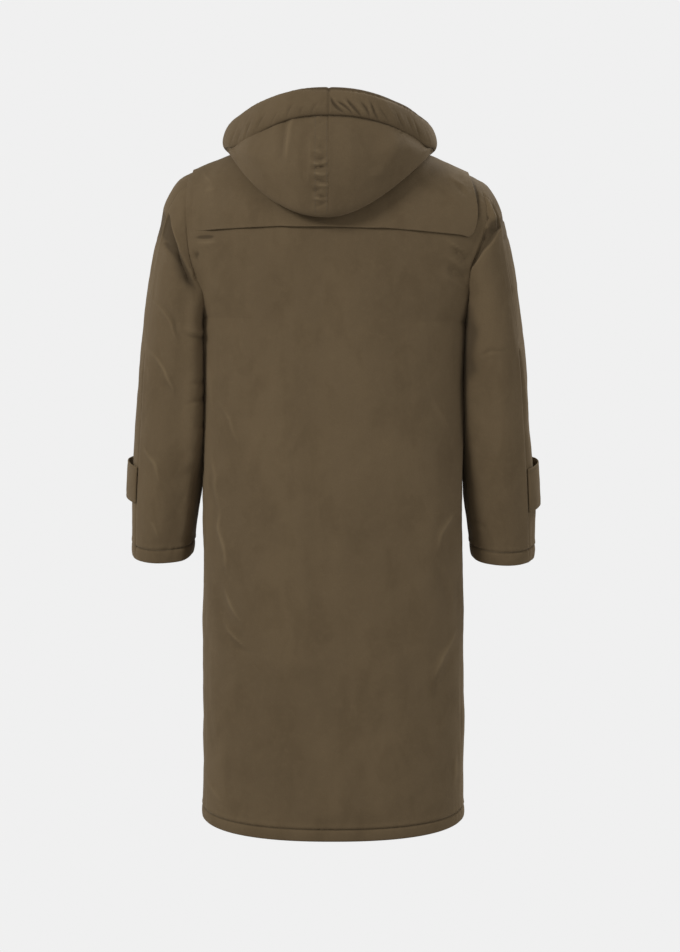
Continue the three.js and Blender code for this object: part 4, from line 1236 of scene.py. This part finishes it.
def filled_section(side, rise, angle):
    """A sleeve's surface whose section is fuller at the inner back than its oval: y falls by a bell
    curve of the angle, from the armpit down. Its inside keeps away from the body towards the cuff."""
    points = sleeve_point(side, 1 - rise, angle)
    inner_back = bell(np.degrees(angle) - 146, 25) * ease((-200 - points[..., 2]) / 70)
    points[..., 1] -= SLEEVE_SQUARE[side] * inner_back
    inside = (1 - np.cos(angle)) / 2
    points[..., 0] += side * CUFF_AWAY[side] * inside * ease((-540 - points[..., 2]) / 140)
    return points


def sleeve_folds(x, z, side, face, seed):
    """The creases and laps of one face of a sleeve, as their height and wear."""
    soft = creases(x, z, SLEEVE_CREASES[side, face], seed)
    sharp = laps(x, z, SLEEVE_LAPS[side, face], seed)
    return soft[0] + sharp[0], soft[1] + sharp[1]


def fold_sleeve(cloth, angle, side, face, seed):
    """Gives a sleeve panel its folds. Those of its back run on round the outer edge of its front."""
    seam = np.minimum(cloth.first, cloth.last)
    calm = ease(seam / 7) * ease(cloth.foot / 40) * ease(cloth.head / 5)
    cloth.add(sleeve_folds(cloth.x, cloth.z, side, face, seed), calm)
    if face == FRONT:
        outer = ease((np.degrees(angle) + 30) / 45)
        cloth.add(sleeve_folds(cloth.x, cloth.z, side, BACK, seed), calm * outer)
    swell = 0.8 * ground(cloth.x + 3 * cloth.y, cloth.z, seed)
    cloth.relief += swell * ease(seam / 18) * ease(cloth.head / 12)
    inside = 1 - np.cos(angle - math.radians(SLEEVE_INSEAM if face == BACK else SLEEVE_INSEAM - 360))
    pressed = np.exp(-inside / 0.25) * beside_sleeve(cloth.z)
    low = ease((-300 - cloth.z) / 90)
    cloth.relief += 1.1 * pressed + seam_valley(seam, 0.6, 2.5) * ease(cloth.foot / 24) * (1 - pressed) * low
    if side == RIGHT or face == FRONT:
        cloth.relief -= (0.5 + 0.9 * ease((-150 - cloth.z) / 50)) * np.exp(-cloth.head / 9)
    else:
        filled = ease((-30 - cloth.y) / 40)
        cloth.relief += ARMHOLE_FILL * filled * bell(cloth.head, 16)
        # painted lightening along the sleeve head's edge, against the seam's shadow line
        cloth.wear_and_painted_light += 0.3 * filled * bell(cloth.head, 2)
    cloth.relief += puckers(cloth.first, cloth.head, 16, 0.7, 11, seed + 2) * ease(cloth.head / 4)
    inner_back = bell(np.degrees(angle) - 145, 26) * ease((-190 - cloth.z) / 50)
    cloth.relief += SLEEVE_PRESS[side] * inner_back * ease((cloth.z + 585) / 110)


def make_sleeve_panel(name, side, face, start, end, columns):
    """A half of a sleeve, between two angles of its section and from cuff to armhole."""
    gap, edge = (math.degrees(reach / RUN["sleeve_round"]) for reach in (SEAM / 2, TURNED))
    angles = with_edges(start + gap, end - gap, columns, edge)
    angles = angles if side == LEFT else angles[::-1]
    edges = TURNED / RUN["sleeve"], TURNED / RUN["sleeve_head"]
    rises = rows_between([0, 0.08, 0.8, 1], [26, 190, 76], *edges)
    angle, rise = np.meshgrid(np.radians(angles), rises)
    cloth = Cloth(name + "_cloth", ease_armhole(filled_section(side, rise, angle), side))
    seed = 71 + 10 * side + face
    fold_sleeve(cloth, angle, side, face, seed)
    cloth.add(hem_band(cloth.first, cloth.foot, CUFF_STITCH, seed + 3))
    cloth.draw_out("head", 1.5, -0.2)
    if face == BACK:
        cloth.draw_out("first", 1.0, 0.15)
        cloth.draw_out("last", 1.0, 0.15)
    make_panel(name, cloth, runs=[cloth.line("foot", CUFF_STITCH)], sewn=("first", "last", "head"))


TAB_SHORTER = {LEFT: 0.014, RIGHT: 0}    # how much less far it reaches down, as a part of the sleeve


def make_cuff_tab(name, side):
    """A strap from the outer seam round the front, standing off the sleeve in one long arch."""
    angles = with_edges(SLEEVE_SEAM[side], TAB["end"], 78, 1.6)
    angles = angles[::-1] if side == LEFT else angles
    bottom = TAB["bottom"] - TAB_SHORTER[side]
    rises = with_edges(1 - bottom, 1 - TAB["top"], 34, TURNED / RUN["sleeve"])
    angle, rise = np.meshgrid(angles, rises)
    cloth = Cloth(name + "_cloth", sleeve_point(side, 1 - rise, np.radians(angle)))
    along = np.clip((SLEEVE_SEAM[side] - angle) / (SLEEVE_SEAM[side] - TAB["end"]), 0, 1)
    cloth.relief = SEAM + TAB["stand"] * np.sin(along * math.pi) ** 0.7 + TAB["wall"]
    cloth.relief += groove(cloth.foot - TAB_STITCH, 0.6, 1.6) + groove(cloth.head - TAB_STITCH, 0.6, 1.6)
    cloth.relief += 0.5 * clouds(cloth.x + cloth.y, cloth.z, 40, 91 + side) * np.sin(along * math.pi)
    runs = [cloth.line("foot", TAB_STITCH), cloth.line("head", TAB_STITCH)]
    make_panel(name, cloth, TAB["wall"], runs=runs, inner_step=3)


# ---- Hood ----
HOOD_PUCKERS = [
    (-30, 44, -14, 41, 1, 3, 1.0, 0.4),
    (-27, 33, -8, 37, 1, 3, -1.0, -0.4),
    (-33, 10, -16, 3, 1, 3, 1.2, 0.4),
    (-24, -2, -8, -10, 2, 3, -1.4, -0.6),
    (-35, -14, -14, -21, -2, 3.5, 1.6, 0.6),
    (-30, -27, -10, -24, 2, 3, -2.2, -1.0),
    (-34, -31, -18, -38, 1, 3, 2.6, 1.0),
    (-20, -34, -7, -30, 1, 3, 2.0, 0.6),
    (-32, -45, -9, -41, -2, 3, -2.8, -1.6),
    (-35, -49, -15, -55, 2, 3.5, 2.6, 1.0),
    (-19, -58, -7, -50, -1, 2.5, 1.4, 0.5),
    (-33, -62, -10, -66, 2, 3, -2.4, -1.2),
    (-29, -73, -8, -69, -1, 3, 2.2, 0.8),
    (-35, -79, -20, -76, 1, 3, -2.0, -1.0),
    (-24, -84, -7, -88, 2, 3, -2.4, -1.2),
    (-34, -90, -13, -95, -2, 3.5, 2.2, 0.8),
    (-28, -103, -9, -99, 1, 3, -2.0, -1.0),
    (-34, -108, -16, -112, 1, 3, 1.2, 0.4),
]
HOOD_START = 0.06    # degrees from the centre seam's middle to where each half starts
HOOD_STRIP = 24      # the centre seam is felled to the left by this much
STRIP_STITCHES = (3.2, HOOD_STRIP - 2.6)
FELL = 2.2           # how far the left half lies over the right one at the seam


def fold_hood(cloth, side, turn, along):
    """The hood's bag: creases on its outer face, valleys at its seams, gathers under the rim, and at
    the centre the strip of the felled seam, puckered across."""
    outside = ease((along - 0.66) / 0.12)
    behind = ease((math.radians(86) - turn) / math.radians(14))
    folds = creases(cloth.x, cloth.z, HOOD_CREASES[side], 101 + side, 2.0)
    cloth.add(folds, outside * behind * ease(cloth.head / 8))
    cloth.relief += 0.6 * ground(cloth.x, cloth.z, 103 + side) * outside * behind * ease(cloth.head / 10)
    cloth.relief += outside * groove(cloth.head, 1.4, 4)
    # Painted shadow under the rim, along the hood's seam with it.
    cloth.wear_and_painted_light -= 1.0 * outside * bell(cloth.head - 3, 3)
    gathers = puckers(cloth.first + 0.5 * cloth.head, cloth.head, 15, 0.6, 11, 107 + side)
    cloth.relief += outside * gathers * ease(cloth.head / 3)
    if side == RIGHT:
        cloth.relief += (1.2 * bell(cloth.first, 7) - 0.4 * bell(cloth.first - 4, 2.5)) * outside
        return
    centre = cloth.last
    strip = ease(centre / 1.5) * (1 - ease((centre - HOOD_STRIP) / 2))
    sewn = sum(groove(centre - distance, 0.4, 1.3) for distance in STRIP_STITCHES)
    beside = np.exp(-np.maximum(0, centre - HOOD_STRIP) / 6)
    cloth.add(creases(cloth.x, cloth.z, HOOD_PUCKERS, 113, 3.6), (0.8 * strip + 0.4 * beside) * outside)
    cloth.relief += (0.6 * strip + sewn) * outside
    # Painted shade along the centre seam.
    cloth.wear_and_painted_light -= 0.2 * strip * bell(centre, 2.5) * outside


def make_hood_half(name, side):
    """A half of the hood, from the centre seam round the neck to the throat, and from the neckline
    out over its fold to the rim."""
    turns = rows_between([HOOD_START, HOOD["front_edge"]], [132], 0.35, 0.5)
    turns = turns[::-1] if side == LEFT else turns
    edges = TURNED / RUN["hood"], TURNED / RUN["hood_head"]
    alongs = rows_between([0, 0.5, 0.62, 1], [36, 28, 92], *edges)
    turn, along = np.meshgrid(np.radians(turns), alongs)
    cloth = Cloth(name + "_cloth", hood_point(side, turn, along))
    if side == LEFT:
        cloth.draw_out("last", FELL)
    fold_hood(cloth, side, turn, along)
    runs = []
    if side == LEFT:
        outer = alongs > 0.68
        runs = [(points[outer], normals[outer])
                for points, normals in (cloth.line("last", distance) for distance in STRIP_STITCHES)]
    make_panel(name, cloth, HOOD["wall"], runs=runs, inner_step=4, sewn=EDGES)


def rim_frame(turn):
    """The seam's points from throat to throat, and at each the ways across and up the rim. The rim
    stands up over the seam, leaning in, and lies down on the chest in front."""
    at = np.radians(np.maximum(HOOD_START, np.abs(turn)))
    halves = [(hood_point(side, at, 1), hood_point(side, at, 0.985),
               hood_underside(side, at, np.ones_like(at))[1]) for side in (LEFT, RIGHT)]
    seam, below, chest = (np.where(turn[:, None] < 0, left, right) for left, right in zip(*halves))
    along = unit(np.gradient(seam, axis=0))
    base = seam - unit(np.cross(along, seam - below)) * HOOD["wall"] / 2
    along = unit(np.gradient(base, axis=0))
    inwards = unit(base * np.array([-1, -1, 0]))
    lean = mix(np.array([0, 0, 1.0]) + inwards * RIM["lean"], chest, ease((np.abs(turn) - 80) / 50)[:, None])
    across = unit(np.cross(lean, along))
    square = np.cross(along, across)
    behind = ease((112 - np.abs(turn)) / 30)[:, None]
    fuller = 1 + 0.18 * bell(np.abs(turn) - 64, 15) - 0.3 * bell(np.abs(turn) - 101, 17)
    up = mix(square, unit(lean), behind) * fuller[:, None]
    near_tip = (ease((np.abs(turn) - 36) / 16) * ease((122 - np.abs(turn)) / 16))[:, None]
    return tuple(mix(value, evened(value, 16), near_tip) for value in (base, across, up))


def evened(rows, spread):
    """Each row's average with those around it, weighted by a bell curve so many rows wide."""
    reach = np.arange(-3 * spread, 3 * spread + 1)
    weight = bell(reach, spread)
    padded = np.pad(rows, ((3 * spread, 3 * spread), (0, 0)), mode="edge")
    return np.stack([np.convolve(column, weight / weight.sum(), mode="valid") for column in padded.T], -1)


# The rim's folds: place along it from its centre seam and height above the hood's seam, to place
# and height, bow, half-width, height and wear, where below 0 the wear is painted shade.
RIM_FOLDS = [
    (3, 27, 25, 2, 2, 2.5, -4, -2.2),
    (10, 27, 31, 4, 2, 3.5, 0.8, 0.63),
    (14, 21, 38, 1, -2, 2.2, -3.4, -2),
    (24, 24, 45, 3, 2, 4, 0.8, 0.56),
    (31, 25, 54, 1, 2, 2.5, -3.6, -2),
    (42, 22, 61, 3, 1, 3.5, 0.7, 0.49),
    (50, 22, 70, 1, -2, 2.5, -2.6, -1.4),
    (60, 30, 79, 4, 3, 5, 0.7, 0.35),
    (69, 26, 86, 1, 2, 2.9, -2.6, -1.3),
    (86, 21, 102, 1, 1, 2.5, -1.3, -0.7),
    (103, 26, 118, 2, -2, 5, 0.4, 0.21),
    (118, 22, 139, 1, 2, 2.9, -1.4, -0.7),
    (142, 26, 158, 2, 2, 3.2, -1.2, -0.5),
    (162, 22, 180, 1, 2, 2.9, -1.2, -0.5),
    (-6, 22, -13, 3, 2, 2.9, -0.8, -0.3),
    (-17, 17, -27, 1, 1, 2.5, -1.1, -0.7),
    (-24, 19, -35, 3, 1, 4, 0.3, 0.21),
    (-40, 14, -49, 1, 1, 2.2, -0.9, -0.6),
    (-56, 20, -70, 1, 1, 2.5, -1.3, -0.7),
    (-64, 22, -78, 3, 2, 4.5, 0.3, 0.21),
    (-84, 16, -95, 1, 1, 2.2, -1, -0.6),
    (-104, 22, -122, 1, 2, 2.9, -1.3, -0.7),
    (-114, 20, -130, 3, 2, 4, 0.3, 0.21),
    (-134, 19, -153, 1, 2, 2.5, -1.3, -0.7),
    (-160, 16, -174, 1, 1, 2.5, -1.1, -0.6),
    (-182, 18, -198, 1, 1, 2.9, -1, -0.4),
]
RIM_SEAT = 4.5        # how far down the roll is drawn over the hood's edge
RIM_END = 12          # over how much of its length each end is rounded


def make_rim():
    """A padded roll: an oval section, sunk at a sewn channel along its top and at the seam over the
    centre back, and gathered in slanting folds that rise from the hood's seam."""
    turn = rows_between([-HOOD["front_edge"], HOOD["front_edge"]], [560], 0.4, 0.4)
    base, across, up = rim_frame(turn)
    s = distances(base)[:, None]
    centre = s - s[np.argmin(np.abs(turn))]
    angle = np.linspace(0, 360, 96, endpoint=False)[None, :]
    far = np.minimum(s, s[-1] - s)
    close = np.sqrt(1 - (1 - np.clip(far / RIM_END, 0.02, 1)) ** 2)
    turned = (np.sin(np.radians(angle)), np.cos(np.radians(angle)))
    rise, wide = (np.sign(value) * np.abs(value) ** RIM["squareness"] for value in turned)
    swell = 1 + 0.05 * wander(s, 70, 121)
    above = (rise + 1) * RIM["half_height"]
    outer = ease((-wide + 0.4) / 0.8)
    folds, worn = creases(centre + 0 * above, above + 0 * centre, RIM_FOLDS, 123, 1.8)
    slanting = s + 0.5 * above * np.tanh(centre / 20)
    gathers = folds + puckers(slanting, 0, 17, 0.5, 1, 125) * np.exp(-above / 20)
    channel_at = 94 + 46 * ease((centre + 110) / 100) + 2.5 * wander(s, 90, 127)
    channel = groove((angle - channel_at) / 57.3 * 18, 1.5, 2.2)
    gathers += puckers(s, 0, 13, 0.7, 1, 129) * np.exp(-np.abs(angle - channel_at) / 14)
    seam = groove(centre, 2.4, 2.4)
    lift = gathers * (0.35 + 0.65 * outer) + channel + seam
    seat = (RIM_SEAT + 13 * bell(turn + 47, 20) + 3 * bell(turn - 52, 24))[:, None]
    half_thick = RIM["half_thickness"] * swell * close + lift * close
    half_high = (RIM["half_height"] + seat / 2) * close + 0.6 * lift * close * (rise > -0.5)
    middle = base + up * (RIM["half_height"] + RIM["gap"] - seat / 2)
    points = (middle[:, None] + up[:, None] * (half_high * rise)[..., None]
              + across[:, None] * (half_thick * wide)[..., None])
    rim = make_tube("hood_rim_roll", points, CLOTH_LOOK)
    # Painted shade on the side of the roll beyond its channel, which faces away.
    shaded_beyond_channel = ease((channel_at - 3 - angle) / 8) * ease((angle - 20) / 30) * ease((centre + 90) / 90)
    # Painted shadow along the roll's foot.
    foot = bell(rise + 1, 0.05)
    # Worn nap on the folds' ridges; painted shade in their troughs, in the channel and at the seam; painted
    # light by the gathers' height, lighter where they rise and darker where they sink.
    wear_and_painted_light = worn + 0.1 * gathers + 0.2 * channel + 0.2 * seam - 1.3 * shaded_beyond_channel - 1.0 * foot
    set_wear_and_painted_light(rim, (wear_and_painted_light * outer).ravel())
    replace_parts(rim, "hood_rim")


# ---- Closures ----
def make_patch(name, side, height):
    """A leather patch, straight at its far end and narrower, with round corners, near the toggle."""
    alongs = with_edges(0, 1, 30, 0.03)
    alongs = alongs[::-1] if side == RIGHT else alongs
    along, across = np.meshgrid(alongs, with_edges(-1, 1, 26, 0.05))
    half = mix(PATCH["half_tip"], PATCH["half_height"], ease(along * 1.6))
    x = PATCH["centre"] + side * (PATCH["near"] + along * PATCH["length"])
    cloth = Cloth(name + "_leather", front_place(x, height + across * half))
    cloth.relief = SEAM + PATCH["wall"] + 0.2 + groove(cloth.edge() - PATCH_STITCH, 0.35, 0.9)
    piece = cloth.build(PATCH["wall"], LEATHER_LOOK, "patch_leather", inner_step=4)
    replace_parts(piece, name)
    lines = (cloth.line(which, PATCH_STITCH) for which in EDGES)
    runs = [(points[4:-4], normals[4:-4]) for points, normals in lines]
    stitches(name + "_stitches", runs, CORD_LOOK, pitch=3.6, thread=0.34)


def above_front(x, z, height):
    """Points over the fronts' face at x and z, a height away along its normal."""
    step = 0.5
    x, z = np.broadcast_arrays(np.asarray(x, float), np.asarray(z, float))
    by_x = front_place(x + step, z) - front_place(x - step, z)
    by_z = front_place(x, z + step) - front_place(x, z - step)
    return front_place(x, z) - unit(np.cross(by_x, by_z)) * np.asarray(height, float)[..., None]


def make_cord(name, route):
    """A twisted cord: a round section with two soft strands, swept along a smooth route."""
    path = read_rows(route, np.linspace(0, len(route) - 1, len(route) * 14))
    steps = distances(path)
    even = np.linspace(0, steps[-1], max(24, int(steps[-1] / 0.8)))
    path = read_line(path, steps, even)
    along = unit(np.gradient(path, axis=0))
    side = unit(np.cross(along, np.array([0, 1.0, 0.02])))
    out = np.cross(side, along)
    angle = np.linspace(0, math.tau, 18, endpoint=False)
    fat = CORD_RADIUS * (1 + 0.09 * np.cos(2 * angle[None] - even[:, None] * math.tau / CORD_TWIST * 2))
    points = (path[:, None] + side[:, None] * (fat * np.cos(angle))[..., None]
              + out[:, None] * (fat * np.sin(angle))[..., None])
    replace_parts(make_tube(name + "_cord", points, CORD_LOOK, way=-1), name)


def make_toggle(name, height):
    """A turned horn toggle: a round bar with rounded ends and a waist where its cord is tied."""
    t = np.sin(np.linspace(-QUARTER, QUARTER, 72))[:, None] * 0.9999
    angle = np.linspace(0, math.tau, 32, endpoint=False)[None]
    waist = (TOGGLE["radius"] - TOGGLE["waist"]) * bell(t, 0.16)
    radius = TOGGLE["radius"] * (1 - np.abs(t) ** 7) ** 0.5 * (1 - 0.07 * t ** 2) - waist
    radius = np.maximum(radius, 0.05)
    middle = above_front(PATCH["centre"], height, TOGGLE["height"])
    bar = vector(t * TOGGLE["length"] / 2, radius * np.cos(angle), radius * np.sin(angle))
    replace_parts(make_tube(name + "_horn", middle + bar, HORN_LOOK, way=-1), name)


def make_closure(number, height):
    """A toggle over two patches. Its own cord comes from the right patch and rises to its waist, and
    the loop's two legs come from the left one and meet round that cord. The routes' rows give x from
    the closure's middle, z for the loop, and the height over the front."""
    make_toggle(f"toggle_{number}", height)
    make_patch(f"patch_left_{number}", LEFT, height)
    make_patch(f"patch_right_{number}", RIGHT, height)
    low, near, centre = CORD_RADIUS + 2 * SEAM, PATCH["near"], PATCH["centre"]
    top = TOGGLE["height"] - TOGGLE["waist"] - 2 * SEAM
    over = 3 * CORD_RADIUS + 2 * SEAM
    held = np.array([(near - SEAM, low), (near / 2, low), (3, low), (0, mix(low, top, 0.4)), (0, top)])
    leg = [(near - SEAM, 5, low), (20, 5, low), (7, 5.5, mix(low, over, 0.8)), (-3, 5, over)]
    loop = np.array([(-x, z, up) for x, z, up in leg] + [(7.5, 0, over)]
                    + [(-x, -z, up) for x, z, up in leg[::-1]])
    make_cord(f"loop_right_{number}", above_front(centre + held[:, 0], height, held[:, 1]))
    make_cord(f"loop_left_{number}", above_front(centre + loop[:, 0], height + loop[:, 1], loop[:, 2]))


# ---- The stage ----
AIM = Vector((0.012, 0.0, -0.022))        # where the camera looks, from the middle of the coat
CAMERA_AWAY, CAMERA_RISE, CAMERA_LENS = 3.4, 6.0, 73.5
PALE = 0.871              # the grey of floor and background
AMBIENT = 0.42            # the even light from all round
LIT = Vector((0, 0, -0.5))                # where the lights point
FLOOR_BELOW, FLOOR_REACH = 0.02, 60       # under the hem, and from the middle to its sides


def make_camera():
    """The camera stands behind the coat, a little above it, and looks at its middle."""
    middle = (CAD_BOX[0] + CAD_BOX[1]) / 2
    target = Vector((0, 0, middle.z)) + AIM
    rise = math.radians(CAMERA_RISE)
    data = bpy.data.cameras.new("camera")
    data.lens, data.sensor_width, data.sensor_fit = CAMERA_LENS, 36, "AUTO"
    camera = bpy.data.objects.new("camera", data)
    back = Vector((0, -math.cos(rise), math.sin(rise)))
    camera.location = target + back * CAMERA_AWAY
    camera.rotation_euler = (-back).to_track_quat("-Z", "Y").to_euler()
    bpy.context.scene.collection.objects.link(camera)
    bpy.context.scene.camera = camera


def make_light(name, place, size, power):
    """A round soft light that faces the coat."""
    data = bpy.data.lights.new(name, "AREA")
    data.shape, data.size, data.energy = "DISK", size, power
    light = bpy.data.objects.new(name, data)
    light.location = place
    light.rotation_euler = (LIT - Vector(place)).to_track_quat("-Z", "Y").to_euler()
    bpy.context.scene.collection.objects.link(light)


def pale_to_the_eye(tree, output, pale, lit):
    """Joins two shaders: an even pale light where the camera looks, and another for all other rays."""
    looked_at = tree.nodes.new("ShaderNodeLightPath").outputs["Is Camera Ray"]
    share = tree.nodes.new("ShaderNodeMixShader")
    tree.links.new(looked_at, share.inputs[0])
    tree.links.new(lit, share.inputs[1])
    tree.links.new(pale, share.inputs[2])
    tree.links.new(share.outputs[0], output.inputs["Surface"])


def make_stage():
    """A floor and a background of one even pale grey, with the light that reaches the coat set apart."""
    level = CAD_BOX[0].z - FLOOR_BELOW
    look = bpy.data.materials.new("pale_floor")
    look.use_nodes = True
    tree = look.node_tree
    plain = tree.nodes["Principled BSDF"]
    plain.inputs["Base Color"].default_value = (0.5, 0.5, 0.5, 1)
    plain.inputs["Roughness"].default_value = 1
    glow = tree.nodes.new("ShaderNodeEmission")
    glow.inputs["Strength"].default_value = PALE
    pale_to_the_eye(tree, tree.nodes["Material Output"], glow.outputs[0], plain.outputs[0])
    mesh = bpy.data.meshes.new("floor")
    corners = [(x * FLOOR_REACH, y * FLOOR_REACH, level) for x, y in ((-1, -1), (1, -1), (1, 1), (-1, 1))]
    mesh.from_pydata(corners, [], [(0, 1, 2, 3)])
    mesh.materials.append(look)
    floor = bpy.data.objects.new("floor", mesh)
    bpy.context.scene.collection.objects.link(floor)

    world = bpy.data.worlds.new("studio")
    world.use_nodes = True
    tree = world.node_tree
    ambient = tree.nodes["Background"]
    ambient.inputs["Strength"].default_value = AMBIENT
    seen = tree.nodes.new("ShaderNodeBackground")
    for background in (ambient, seen):
        background.inputs["Color"].default_value = (1, 1, 1, 1)
    seen.inputs["Strength"].default_value = PALE
    pale_to_the_eye(tree, tree.nodes["World Output"], seen.outputs[0], ambient.outputs[0])
    bpy.context.scene.world = world
    bpy.context.scene.view_settings.view_transform = "Standard"
    make_light("key", (-3.3, -3.1, 2.2), 1.6, 153)
    make_light("fill", (3.0, -2.4, 0.4), 2.4, 30)
    make_light("front_key", (2.0, 2.6, 2.2), 1.5, 90)
    make_light("front_fill", (-3.0, 2.4, 0.2), 2.4, 20)


make_camera()
make_stage()
make_back()
make_yoke()
make_front("front_left", LEFT)
make_front("front_right", RIGHT)
for word, side in (("left", LEFT), ("right", RIGHT)):
    make_sleeve_panel(f"sleeve_{word}_back", side, BACK, SLEEVE_SEAM[side], SLEEVE_INSEAM, 80)
    make_sleeve_panel(f"sleeve_{word}_front", side, FRONT, SLEEVE_INSEAM - 360, SLEEVE_SEAM[side], 84)
    make_cuff_tab(f"cuff_tab_{word}", side)
    make_hood_half(f"hood_{word}", side)
make_rim()
for number, height in enumerate(CLOSURE_HEIGHTS, 1):
    make_closure(number, height)
